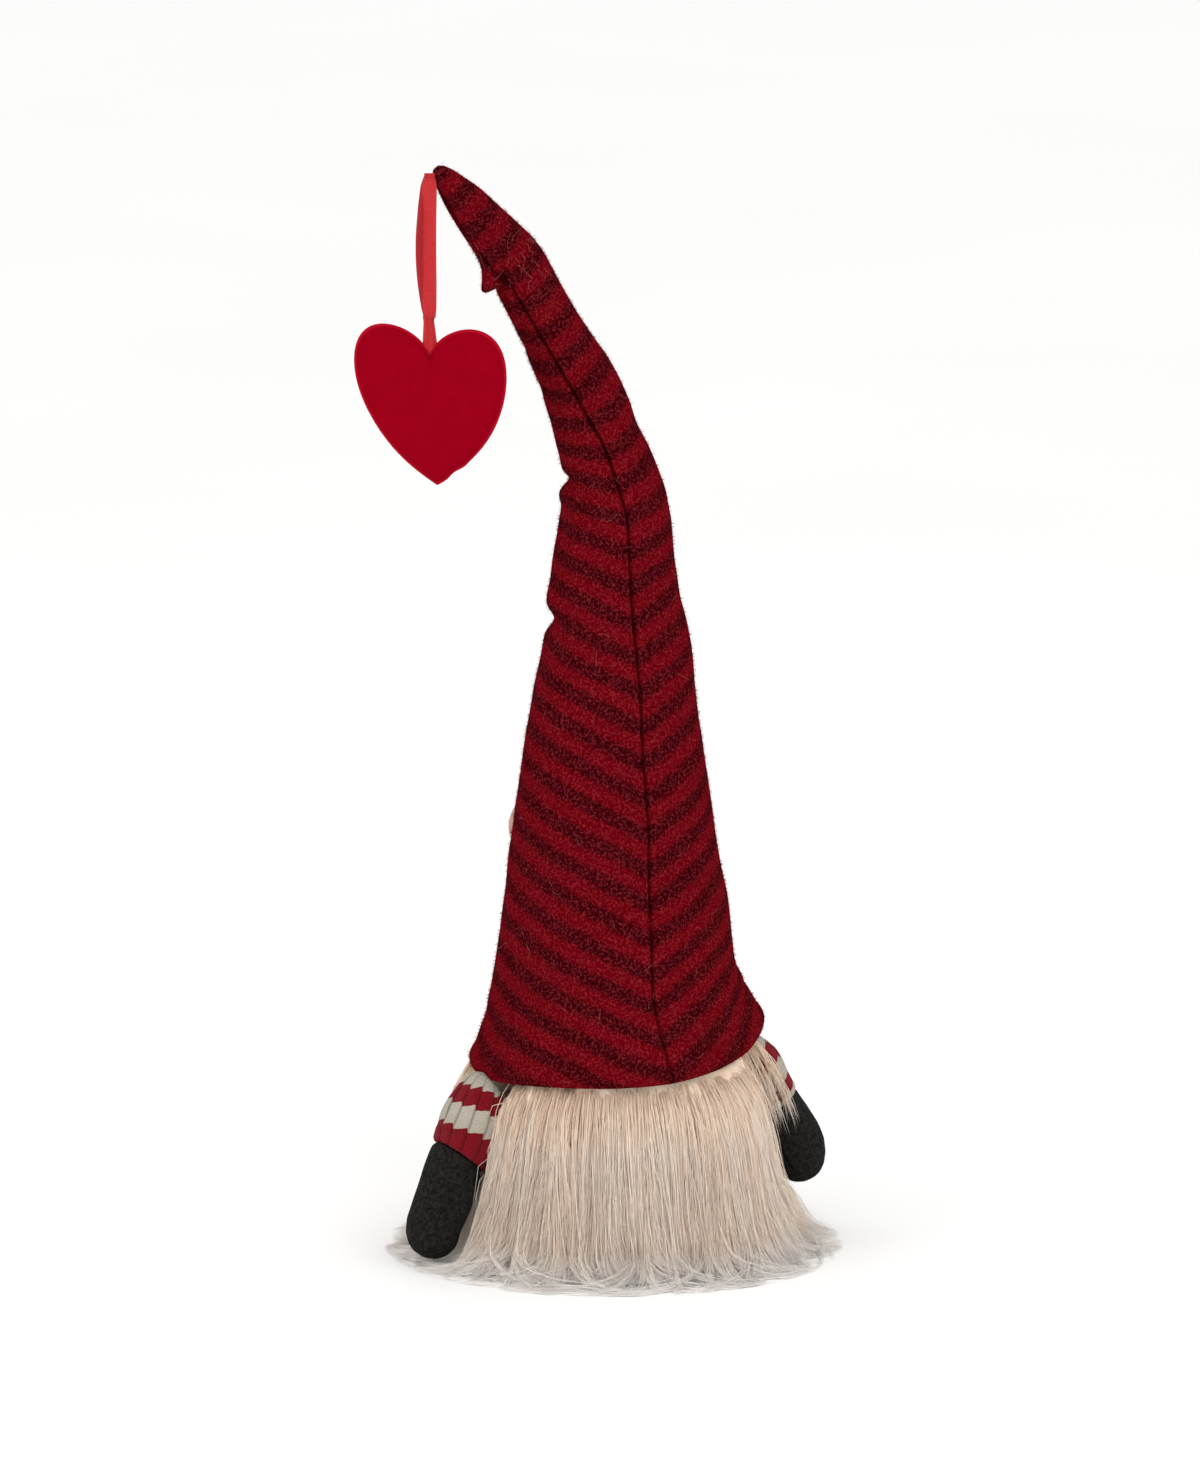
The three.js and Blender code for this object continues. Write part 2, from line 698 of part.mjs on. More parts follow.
function buildFoot() {
  const foot = new THREE.Group();
  addMesh(foot, "base_housing", footHousing(), WHITE_PLASTIC);
  addMesh(foot, "base_cover", coverPlate(), WHITE_PLASTIC);
  addMesh(foot, "battery_door", batteryDoor(), WHITE_PLASTIC);
  SCREW_PLACES.forEach(([x, y], i) => {
    addMesh(foot, `base_screw_${i + 1}`, screw(), STEEL).position.set(x, y, 0);
  });
  const middleY = (BAY_Y0 + BAY_Y1) / 2;
  for (const [i, side] of [[1, 1], [2, -1]]) {
    const lane = new THREE.Group();
    lane.position.set(0, middleY + (side * CELL_PITCH) / 2, DOOR_RECESS + CELL_R + 0.5);
    lane.rotation.z = side > 0 ? 0 : Math.PI;
    addMesh(lane, `battery_${i}`, cell(), CELL_WRAP);
    addMesh(lane, `contact_spring_${i}`, contactSpring(), STEEL);
    addMesh(lane, `contact_plate_${i}`, box(BAY_X - 0.6, BAY_X - 0.1, -5, 5, -5, 5), STEEL);
    foot.add(lane);
  }
  addMesh(foot, "switch_body", switchBody(), BLACK_PLASTIC);
  addMesh(foot, "switch_knob", switchKnob(), BLACK_PLASTIC);
  const boardZ = DECK_Z + REST_GAP;
  const board = box(-BOARD_X, BOARD_X, -BOARD_Y, BOARD_Y, boardZ, boardZ + BOARD_T);
  addMesh(foot, "circuit_board", board, BOARD_GREEN);
  addMesh(foot, "wire_red", lead(1), WIRE_RED);
  addMesh(foot, "wire_black", lead(-1), WIRE_BLACK);
  LAMP_PLACES.forEach(([x, y], i) => {
    addMesh(foot, `led_${i + 1}`, lamp(), LED_CLEAR).position.set(x, y, boardZ + BOARD_T + REST_GAP);
  });
  return foot;
}

function buildBody() {
  const body = new THREE.Group();
  addMesh(body, "body_shell", bodyShell(), FROSTED);
  addMesh(body, "fur_backing", furBacking(), BACKING);
  addMesh(body, "fur_skirt", furSkirt(), FUR_CREAM);
  addMesh(body, "beard", beard(), FUR_CREAM);
  addMesh(body, "nose", ball(NOSE_R), NOSE_SKIN);
  return body;
}

function buildHat() {
  const hat = new THREE.Group();
  addMesh(hat, "hat_cone", hatCone(), HAT_FELT);
  addMesh(hat, "hat_stuffing_lower", lowerFilling(), FILLING);
  addMesh(hat, "hat_wire_lower", wire(SHELL_TOP_Z + 11, HAT_WIRE_LOWER_END), STEEL);
  addMesh(hat, "hat_middle", hatMiddle(), HAT_FELT);
  addMesh(hat, "hat_stuffing_middle", middleFilling(), FILLING);
  addMesh(hat, "hat_wire_middle", wire(...HAT_WIRE_MIDDLE), STEEL);
  const tip = new THREE.Group();
  tip.position.set(FOLD.x, 0, FOLD.z);
  tip.rotation.y = TIP_ANGLE;
  addMesh(tip, "hat_tip", hatTip(), HAT_FELT);
  addMesh(tip, "hat_stuffing_tip", tipFilling(), FILLING);
  addMesh(tip, "hat_wire_tip", post(WIRE_R, ...HAT_WIRE_TIP, 0, 0, 10), STEEL);
  hat.add(tip);
  return hat;
}

function buildArms() {
  const arms = new THREE.Group();
  for (const [side, arm] of [["left", LEFT_ARM], ["right", RIGHT_ARM]]) {
    addMesh(arms, `${side}_sleeve`, placedArm(sleeve(), arm), KNIT);
    addMesh(arms, `${side}_mitten`, placedArm(mitten(), arm), MITTEN_GREY);
  }
  return arms;
}

function buildHeart() {
  const heart = new THREE.Group();
  const face = HEART_FILL / 2 + GAP;
  const stand = (geometry) => onHangingLine(geometry.translate(0, 0, HEART_NOTCH_Z));
  addMesh(heart, "heart_front", stand(heartPlate(0, face, face + HEART_FELT)), HEART_RED);
  addMesh(heart, "heart_back", stand(heartPlate(0, -face - HEART_FELT, -face)), HEART_RED);
  const filling = heartPlate(HEART_SEAM, -HEART_FILL / 2, HEART_FILL / 2);
  addMesh(heart, "heart_stuffing", stand(filling), FILLING);
  addMesh(heart, "ribbon_gather", onHangingLine(ribbonGather()), RIBBON_RED);
  const left = ribbonStrand(LEFT_BULGE, -STRAND_APART);
  const right = ribbonStrand(RIGHT_BULGE, STRAND_APART);
  addMesh(heart, "ribbon_left", onHangingLine(left), RIBBON_RED);
  addMesh(heart, "ribbon_right", onHangingLine(right), RIBBON_RED);
  return heart;
}

gnome.add(buildFoot(), buildBody(), buildHat(), buildArms(), buildHeart());

export default gnome;
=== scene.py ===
"""The looks of a standing fabric gnome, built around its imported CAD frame.

Shapes are worked out in millimetres and stored in metres. Angles round the body are measured
in the plan from +X towards +Y, so 90 degrees is the gnome's back.
"""

import math

import bmesh
import bpy
import numpy as np
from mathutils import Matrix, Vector


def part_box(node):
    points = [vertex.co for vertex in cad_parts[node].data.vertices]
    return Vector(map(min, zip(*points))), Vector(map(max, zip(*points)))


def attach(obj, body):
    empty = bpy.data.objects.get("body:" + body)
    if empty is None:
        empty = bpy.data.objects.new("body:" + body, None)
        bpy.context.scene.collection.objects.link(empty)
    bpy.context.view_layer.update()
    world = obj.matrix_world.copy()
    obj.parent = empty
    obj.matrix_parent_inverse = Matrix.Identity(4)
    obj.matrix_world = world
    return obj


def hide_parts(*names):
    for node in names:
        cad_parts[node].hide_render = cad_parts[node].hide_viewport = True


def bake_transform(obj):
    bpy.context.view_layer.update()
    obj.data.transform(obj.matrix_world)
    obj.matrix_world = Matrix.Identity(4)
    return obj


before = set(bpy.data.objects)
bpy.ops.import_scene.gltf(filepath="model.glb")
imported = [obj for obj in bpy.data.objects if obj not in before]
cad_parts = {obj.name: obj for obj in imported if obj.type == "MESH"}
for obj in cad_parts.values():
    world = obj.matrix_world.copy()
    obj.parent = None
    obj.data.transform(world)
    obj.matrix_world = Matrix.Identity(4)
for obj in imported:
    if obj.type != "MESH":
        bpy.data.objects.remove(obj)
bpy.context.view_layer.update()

MM = 0.001

# ---------- camera ----------

VIEW_AZIMUTH = math.radians(152)
VIEW_ELEVATION = math.radians(11)
VIEW_DISTANCE = 8.0
FRAME_HEIGHT = 0.653  # what the frame's height covers at the gnome
AIM = (0.0059, -0.0031, 0.234)


def make_camera():
    flat = math.cos(VIEW_ELEVATION)
    back = Vector(
        (
            math.sin(VIEW_AZIMUTH) * flat,
            -math.cos(VIEW_AZIMUTH) * flat,
            math.sin(VIEW_ELEVATION),
        )
    )
    data = bpy.data.cameras.new("camera")
    camera = bpy.data.objects.new("camera", data)
    bpy.context.scene.collection.objects.link(camera)
    camera.location = Vector(AIM) + back * VIEW_DISTANCE
    camera.rotation_mode = "QUATERNION"
    camera.rotation_quaternion = (-back).to_track_quat("-Z", "Y")
    data.sensor_width = 36
    data.lens = data.sensor_width / 2 / (FRAME_HEIGHT / 2 / VIEW_DISTANCE)
    data.clip_start, data.clip_end = 0.05, 50
    bpy.context.scene.camera = camera
    bpy.context.scene.view_settings.view_transform = "Standard"


make_camera()

# ---------- shading tools ----------


def srgb(r, g, b):
    """A colour in linear light from its 0 to 255 values."""

    def linear(c):
        c = c / 255
        return c / 12.92 if c <= 0.04045 else ((c + 0.055) / 1.055) ** 2.4

    return (linear(r), linear(g), linear(b), 1)


class Shader:
    """A material with one Principled surface, and short ways to add nodes to it."""

    def __init__(self, name, **sockets):
        self.material = bpy.data.materials.new(name)
        self.material.use_nodes = True
        self.tree = self.material.node_tree
        self.surface = self.tree.nodes["Principled BSDF"]
        for socket, value in sockets.items():
            self.surface.inputs[socket.replace("_", " ")].default_value = value

    def node(self, kind, values=(), **settings):
        made = self.tree.nodes.new("ShaderNode" + kind)
        for setting, value in settings.items():
            setattr(made, setting, value)
        for index, value in dict(values).items():
            if isinstance(value, bpy.types.NodeSocket):
                self.tree.links.new(value, made.inputs[index])
            else:
                made.inputs[index].default_value = value
        return made

    def attribute(self, name, output="Fac"):
        return self.node("Attribute", attribute_name=name).outputs[output]

    def place(self):
        return self.node("TexCoord").outputs["Object"]

    def stretched(self, vector, scale):
        return self.node("Mapping", {"Vector": vector, "Scale": scale}).outputs[0]

    def noise(self, scale, detail=2.0, rough=0.5, vector=None, distortion=0.0):
        values = {
            "Vector": self.place() if vector is None else vector,
            "Scale": scale,
            "Detail": detail,
            "Roughness": rough,
            "Distortion": distortion,
        }
        return self.node("TexNoise", values).outputs["Fac"]

    def math(self, operation, a, b=0.0, c=0.0):
        return self.node("Math", {0: a, 1: b, 2: c}, operation=operation).outputs[0]

    def times(self, a, b):
        return self.math("MULTIPLY", a, b)

    def plus(self, a, b):
        return self.math("ADD", a, b)

    def spread(self, value, low, high, to_low=0.0, to_high=1.0):
        values = {0: value, 1: low, 2: high, 3: to_low, 4: to_high}
        return self.node("MapRange", values).outputs[0]

    def smooth_step(self, value, low, high):
        values = {0: value, 1: low, 2: high, 3: 0.0, 4: 1.0}
        made = self.node("MapRange", values, interpolation_type="SMOOTHSTEP")
        return made.outputs[0]

    def mix(self, share, a, b, blend="MIX"):
        values = {0: share, 6: a, 7: b}
        made = self.node("Mix", values, data_type="RGBA", blend_type=blend)
        return made.outputs[2]

    def shade(self, colour, value, low, high):
        """The colour made darker or lighter as a 0 to 1 value goes from low to high."""
        factor = self.spread(value, 0.0, 1.0, low, high)
        return self.node("VectorMath", {0: colour, 3: factor}, operation="SCALE").outputs[0]

    def colour(self, value):
        self.tree.links.new(value, self.surface.inputs["Base Color"])

    def roughness(self, value):
        self.tree.links.new(value, self.surface.inputs["Roughness"])

    def bump(self, height, distance, strength=1.0):
        values = {"Height": height, "Distance": distance, "Strength": strength}
        made = self.node("Bump", values)
        self.tree.links.new(made.outputs[0], self.surface.inputs["Normal"])


# ---------- mesh tools ----------


def make_mesh(name, points, faces, material, attributes=None, smooth=True):
    """An object from points in millimetres and a list of index arrays, one per corner count."""
    groups = [np.asarray(f, np.int32) for f in (faces if isinstance(faces, list) else [faces])]
    groups = [g for g in groups if len(g)]
    mesh = bpy.data.meshes.new(name)
    mesh.vertices.add(len(points))
    mesh.vertices.foreach_set("co", (np.asarray(points, float) * MM).astype(np.float32).ravel())
    corners = np.concatenate([g.ravel() for g in groups])
    sizes = np.concatenate([np.full(len(g), g.shape[1], np.int32) for g in groups])
    starts = np.concatenate([[0], np.cumsum(sizes)[:-1]]).astype(np.int32)
    mesh.loops.add(len(corners))
    mesh.loops.foreach_set("vertex_index", corners)
    mesh.polygons.add(len(sizes))
    mesh.polygons.foreach_set("loop_start", starts)
    mesh.polygons.foreach_set("use_smooth", np.full(len(sizes), smooth))
    for key, values in (attributes or {}).items():
        values = np.asarray(values, np.float32)
        kind = "FLOAT" if values.ndim == 1 else "FLOAT_VECTOR"
        made = mesh.attributes.new(key, kind, "POINT")
        made.data.foreach_set("value" if values.ndim == 1 else "vector", values.ravel())
    mesh.update(calc_edges=True)
    made = bpy.data.objects.new(name, mesh)
    bpy.context.scene.collection.objects.link(made)
    mesh.materials.append(material)
    return made


def ring_faces(rows, columns):
    """Quads of a grid whose columns close on themselves."""
    row, column = np.meshgrid(np.arange(rows - 1), np.arange(columns), indexing="ij")
    row, column = row.ravel(), column.ravel()
    after = (column + 1) % columns
    low, high = row * columns, (row + 1) * columns
    return np.stack([low + column, low + after, high + after, high + column], 1)


def closed_tube(name, rings, material, marks):
    """A closed piece from rings of points (row, column, 3) whose ends are capped."""
    rows, columns, _ = rings.shape
    faces = ring_faces(rows, columns)
    first = np.arange(columns)[None, ::-1]
    last = (np.arange(columns) + (rows - 1) * columns)[None]
    attributes = {k: np.broadcast_to(v, (rows, columns)).ravel() for k, v in marks.items()}
    piece = make_mesh(name, rings.reshape(-1, 3), [faces, first, last], material, attributes)
    return piece, (rings.reshape(-1, 3), faces, attributes)


def around(columns):
    """The angles of a ring's points, as one row."""
    return (np.arange(columns) / columns * 2 * np.pi)[None]


def belongs(piece, body, slot, *replaced):
    """Puts a piece on a body, in the place of CAD nodes. The slot is not used."""
    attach(piece, body)
    if replaced:
        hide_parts(*replaced)


def ease(value, low, high):
    share = np.clip((value - low) / (high - low), 0, 1)
    return share * share * (3 - 2 * share)


WAVE_COUNT = 5


def waves(a, b, seed, size):
    """A smooth seeded ripple over two coordinates, about -1 to 1."""
    draw = np.random.default_rng(seed)
    total = np.zeros(np.broadcast(a, b).shape)
    for _ in range(WAVE_COUNT):
        turn, phase = draw.uniform(0, 2 * math.pi, 2)
        pitch = size * draw.uniform(0.7, 1.6)
        total = total + np.sin((a * math.cos(turn) + b * math.sin(turn)) / pitch + phase)
    return total / math.sqrt(WAVE_COUNT)


def unit(vectors):
    return vectors / np.maximum(np.linalg.norm(vectors, axis=-1, keepdims=True), 1e-12)


def quad_normals(corner):
    """Each quad's normal, as long as twice its area, and that length."""
    normal = np.cross(corner[:, 2] - corner[:, 0], corner[:, 3] - corner[:, 1])
    return normal, np.linalg.norm(normal, axis=1)


def scattered(points, quads, count, draw, attributes):
    """Random places on a surface: positions, normals and the attributes there."""
    corner = points[quads]
    normal, area = quad_normals(corner)
    chosen = draw.choice(len(quads), count, p=area / area.sum())
    u, v = draw.random((2, count, 1))
    share = [(1 - u) * (1 - v), u * (1 - v), u * v, (1 - u) * v]
    place = sum(s * corner[chosen, i] for i, s in enumerate(share))
    carried = {}
    for key, values in attributes.items():
        values = np.asarray(values, float)
        wide = values if values.ndim == 2 else values[:, None]
        carried[key] = sum(s * wide[quads[chosen, i]] for i, s in enumerate(share))
        if values.ndim == 1:
            carried[key] = carried[key][:, 0]
    return place, unit(normal[chosen]), carried


STRAND_SIDES = 3


def hairs(name, lines, widths, material, attributes=None):
    """Tapered strands along lines of shape (strand, point, 3), with a closed tip and root."""
    sides = STRAND_SIDES
    count, steps, _ = lines.shape
    along = unit(np.gradient(lines, axis=1))
    up = np.where(np.abs(along[:, :1, 2:]) > 0.8, [[[1.0, 0, 0]]], [[[0.0, 0, 1]]])
    across = unit(np.cross(along, up))
    other = np.cross(along, across)
    rings = []
    for side in range(sides):
        turn = 2 * math.pi * side / sides
        offset = across * math.cos(turn) + other * math.sin(turn)
        rings.append(lines + offset * widths[..., None] / 2)
    body = np.stack(rings, 2)[:, :-1]
    tips = lines[:, -1:]
    points = np.concatenate([body.reshape(count, -1, 3), tips], 1)
    per_strand = (steps - 1) * sides + 1
    quads = ring_faces(steps - 1, sides)
    ring = np.arange(sides)
    top = (steps - 2) * sides
    caps = np.stack([top + ring, top + (ring + 1) % sides, np.full(sides, per_strand - 1)], 1)
    base = (np.arange(count) * per_strand)[:, None, None]
    groups = [(quads[None] + base).reshape(-1, 4), (caps[None] + base).reshape(-1, 3)]
    groups.append((np.array([[[2, 1, 0]]]) + base).reshape(-1, 3))
    spread = {}
    for key, values in (attributes or {}).items():
        values = np.asarray(values, float)
        if values.ndim == 2 and values.shape == (count, steps):
            body_values = np.repeat(values[:, :-1], sides, 1)
            spread[key] = np.concatenate([body_values, values[:, -1:]], 1).ravel()
        elif values.ndim == 2:
            spread[key] = np.repeat(values, per_strand, 0)
        else:
            spread[key] = np.repeat(values, per_strand)
    return make_mesh(name, points.reshape(-1, 3), groups, material, spread)


FUZZ_CURL = 0.5


def fuzz(name, surface, count, length, width, material, seed, lean=(0, 0, -0.4)):
    """Short fibres standing off a surface given as (points, quads, attributes)."""
    draw = np.random.default_rng(seed)
    points, quads, attributes = surface
    place, normal, carried = scattered(points, quads, count, draw, attributes)
    loose = draw.normal(0, 0.75, (count, 3))
    start = unit(normal + 0.5 * loose + np.array(lean))
    turned = unit(start + FUZZ_CURL * draw.normal(0, 1, (count, 3)))
    size = length * draw.uniform(0.4, 1.3, (count, 1))
    lines = np.stack(
        [
            place - 0.1 * normal,
            place + start * size * 0.5,
            place + start * size * 0.5 + turned * size * 0.5,
        ],
        1,
    )
    widths = width * np.array([1.0, 0.8, 0.3])[None] * np.ones((count, 1))
    return hairs(name, lines, widths, material, carried)


# ---------- ribbon: two strands of one loop ----------

HANG_X = 92.5
HANG_TOP_Z = 492
HEART_TURN = math.radians(-28)
RIBBON_W = 6.5
RIBBON_T = 0.6
RIBBON_END_Z = 429
RIBBON_STEPS = 28


def to_hanging_line(local):
    """Points made about the Z axis, turned to the heart's plane and moved to its line."""
    x, y, z = local[..., 0], local[..., 1], local[..., 2]
    cos, sin = math.cos(HEART_TURN), math.sin(HEART_TURN)
    return np.stack([x * cos - y * sin + HANG_X, x * sin + y * cos, z], -1)


def turned_to_heart(direction):
    return to_hanging_line(direction) - to_hanging_line(np.zeros(3))


def ribbon_material():
    s = Shader("ribbon_satin", Roughness=0.5, Specular_IOR_Level=0.25, Sheen_Weight=0.06)
    along = s.attribute("along")
    across = s.attribute("across")
    weft = s.math("SINE", s.times(along, 2 * math.pi / 0.55))
    warp = s.math("SINE", s.times(across, 2 * math.pi / 0.5))
    edge = s.smooth_step(s.math("ABSOLUTE", across), 2.5, 2.9)
    flow = s.noise(900.0, 3.0, 0.6)
    base = s.mix(flow, srgb(180, 22, 30), srgb(204, 38, 42))
    base = s.mix(s.times(edge, 0.4), base, srgb(226, 66, 62))
    base = s.mix(s.attribute("shaded"), base, srgb(140, 0, 20))
    base = s.shade(base, s.math("MULTIPLY_ADD", weft, 0.5, 0.5), 0.82, 1.1)
    s.colour(base)
    height = s.plus(weft, s.times(warp, 0.6))
    height = s.plus(height, s.times(edge, 2.5))
    s.bump(height, 0.00012, 0.7)
    return s.material


RIBBON = ribbon_material()


def ribbon_band(name, line, facing, width, cup=0.35, pleat=0.0, shaded=0.0):
    """A flat closed band along a line. facing is each point's unit direction across it."""
    line, facing = np.asarray(line, float), unit(np.asarray(facing, float))
    along = unit(np.gradient(line, axis=0))
    facing = unit(facing - (facing * along).sum(1, keepdims=True) * along)
    normal = np.cross(along, facing)
    shares = np.linspace(-1, 1, 9)
    run = np.concatenate([[0], np.cumsum(np.linalg.norm(np.diff(line, axis=0), axis=1))])
    half = np.broadcast_to(np.asarray(width, float) / 2, run.shape)
    rows, mark_along, mark_across = [], [], []
    for side in (1, -1):
        for share in shares[:: int(side)]:
            depth = cup * (share**2) + pleat * np.sin(share * 7)
            thick = RIBBON_T / 2 * (1 - 0.5 * abs(share) ** 6)
            offset = facing * (half * share)[:, None]
            rows.append(line + offset + normal * (depth + side * thick))
            mark_along.append(run)
            mark_across.append(np.full(len(run), share * RIBBON_W / 2))
    marks = {
        "along": np.stack(mark_along, 1),
        "across": np.stack(mark_across, 1),
        "shaded": shaded,
    }
    return closed_tube(name, np.stack(rows, 1), RIBBON, marks)[0]


def ribbon_strand(side, bulge, depth, turn, shaded):
    """One hanging strand from the hat's tip to the gather on the heart."""
    share = np.linspace(0, 1, RIBBON_STEPS)
    drop = HANG_TOP_Z - RIBBON_END_Z
    local = np.stack(
        [bulge * np.sin(np.pi * share), np.full_like(share, depth), HANG_TOP_Z - drop * share], 1
    )
    line = to_hanging_line(local)
    angle = np.radians(np.interp(share, [0, 0.3, 0.7, 1], turn))
    facing = np.stack([np.cos(angle), np.sin(angle), np.zeros_like(angle)], 1)
    facing = turned_to_heart(facing)
    width = RIBBON_W * np.interp(share, [0, 0.06, 0.75, 0.93, 1], [0.72, 1, 1, 0.92, 0.78])
    name = f"ribbon_{side}_strand"
    band = ribbon_band(name, line, facing, width, shaded=shaded)
    belongs(band, "ribbon", "ribbon", f"ribbon_{side}")


ribbon_strand("left", 3.1, -0.7, [4, 30, 24, 8], 0.6)
ribbon_strand("right", 0.3, 0.7, [-4, -20, -16, -4], 0.0)

# ---------- hat ----------

BEND_START = 328
BEND_RADIUS = 145
BEND_ANGLE = math.radians(29)
HAT_END = 523
FELT_FOLD = 461  # where the felt itself creases, past the wire's bend
SAG = 2.8  # how far the felt hangs off its wire toward the heart, below its crease
FELT_LEAN = math.radians(43)  # of the felt past its crease
HAT_SPLIT = 400  # where the hat's two meshes meet
BRIM_Z = 84
FELT_T = 2.0
ARCH_R, ARCH_Z, ARCH_FOOT_X, ARCH_FOOT_Z = 15, 176, 56, 80
STRIPE_PITCH = 14.02
STRIPE_SHIFT = -0.068
SECTOR_HALF = math.radians(26.8)  # half angle of the flat sector that the cone is cut from
APEX_S = 531

HAT_RADIUS = np.array(
    [
        (84, 64.6), (86, 65.8), (88.5, 66), (93, 63.2), (98, 61.4), (104, 59.4), (112, 57.2),
        (120, 55.0), (128, 53.7), (160, 49.4), (179, 47), (200, 44.2), (224, 40.9), (254, 35.8),
        (275, 32.4), (291, 29.8), (313, 27), (332, 25.0), (347, 22.3), (364, 19.8), (384, 17.7),
        (410, 15.6), (432, 13.8), (446, 13.2), (456, 13.0), (468, 12.4), (480, 11.2), (492, 9.6),
        (504, 7.8), (512, 6.2), (517, 5.0), (520.5, 3.6), (522.4, 2.0), (523, 0.15),
    ]
)
SEAM_TURN = np.array(
    [
        (84, 85), (124, 80), (170, 80.7), (200, 81.5), (230, 80.4), (260, 80.5), (310, 76),
        (335, 75), (352, 70), (372, 68), (385, 61), (398, 56), (412, 52), (425, 48), (440, 43),
        (452, 38), (462, 31), (472, 20), (485, 8), (506, 0), (523, -2),
    ]
)
BRIM_EDGE = np.array(
    [
        (-90, 84), (-60, 84), (-28, 83.5), (0, 83.5), (30, 85), (62, 86), (85, 87.5), (108, 90.5),
        (128, 94), (148, 100), (165, 103), (185, 103), (205, 99), (225, 91), (245, 85), (270, 84),
    ]
)


def middle_line(s):
    """Where the hat's middle line is at a length s, and how far it leans from the vertical."""
    steps = np.linspace(0, HAT_END + 5, 2113)
    lean = np.minimum(np.maximum((steps - BEND_START) / BEND_RADIUS, 0), BEND_ANGLE)
    lean = lean + (FELT_LEAN - BEND_ANGLE) * ease(steps, FELT_FOLD - 10, FELT_FOLD + 8)
    size = steps[1] - steps[0]
    x = np.concatenate([[0], np.cumsum(np.sin(lean[:-1]) * size)])
    z = np.concatenate([[0], np.cumsum(np.cos(lean[:-1]) * size)])
    x = x + SAG * ease(steps, 335, 385) * (1 - ease(steps, 450, 500))
    return np.interp(s, steps, x), np.interp(s, steps, z), np.interp(s, steps, lean)


def bell(value, middle, width):
    return np.exp(-(((value - middle) / width) ** 2))


def lopsided(value, middle, below, above):
    return bell(value, middle, np.where(value < middle, below, above))


def degrees_from(angle, middle):
    """How far an angle is from another, both in degrees, the short way round."""
    return (angle - middle + 180) % 360 - 180


# (length along the hat, angle, depth in, half height, half width in degrees, slant)
CREASES = [
    (352.5, -28, 3.4, 3.2, 42, 0.02),
    (286, -28, 3.6, 4.2, 40, 0.05),
    (345, -28, -1.9, 4.5, 38, 0.02),
    (296, -28, -1.0, 6.0, 36, 0.03),
    (372, 150, 0.9, 5.0, 40, -0.04),
    (402, 20, 0.9, 4.0, 45, 0.02),
    (424, 10, 0.8, 3.5, 45, 0.02),
    (274, 152, -1.0, 14, 45, 0.0),
    (108, -10, 0.9, 4.5, 35, 0.03),
    (106, 140, 1.0, 4.0, 30, -0.03),
    (214, 150, 0.9, 22, 26, 0.0),
    (182, 200, 0.8, 12, 40, 0.08),
    (245, 210, 1.0, 9, 40, 0.08),
    (300, 215, 1.3, 6, 45, 0.05),
    (338, 205, 1.2, 5, 50, 0.04),
]


def hat_radius(s, turn):
    """The felt's outer radius. turn is the angle in the plan, in degrees."""
    r = np.interp(s, HAT_RADIUS[:, 0], HAT_RADIUS[:, 1])
    for at_s, at_turn, depth, high, wide, slant in CREASES:
        away = degrees_from(turn, at_turn)
        r = r - depth * bell(s - slant * away, at_s, high) * bell(away, 0, wide)
    # the dog-ear that the fold pinches out, and the pocket beside it
    ear = lopsided(s, 462, 2.6, 7.5) * bell(degrees_from(turn, 4), 0, 24)
    r = r + 7.8 * ear
    r = r - 5.0 * bell(s, 464.5, 3.2) * bell(degrees_from(turn, 38), 0, 11)
    r = r - 1.8 * bell(s, 456.5, 2.6) * bell(degrees_from(turn, 20), 0, 55)
    soft = ease(s, 96, 120) * ease(HAT_END - s, 0, 30)
    arc = np.radians(turn) * np.maximum(r, 8)
    r = r + soft * (0.45 * waves(arc, s, 5, size=9.0) + 0.12 * waves(arc, s, 6, size=2.2))
    # the brim waves a little
    r = r + 0.9 * (1 - ease(s, 86, 112)) * np.sin(np.radians(turn) * 5 + 0.6)
    return r


def seam_relief(distance):
    """The back seam across its run, in millimetres from the groove."""
    ridge = 0.75 * bell(distance, -2.1, 1.8) + 0.3 * bell(distance, 2.8, 2.0)
    return ridge - 1.8 * bell(distance, 0.2, 0.6)


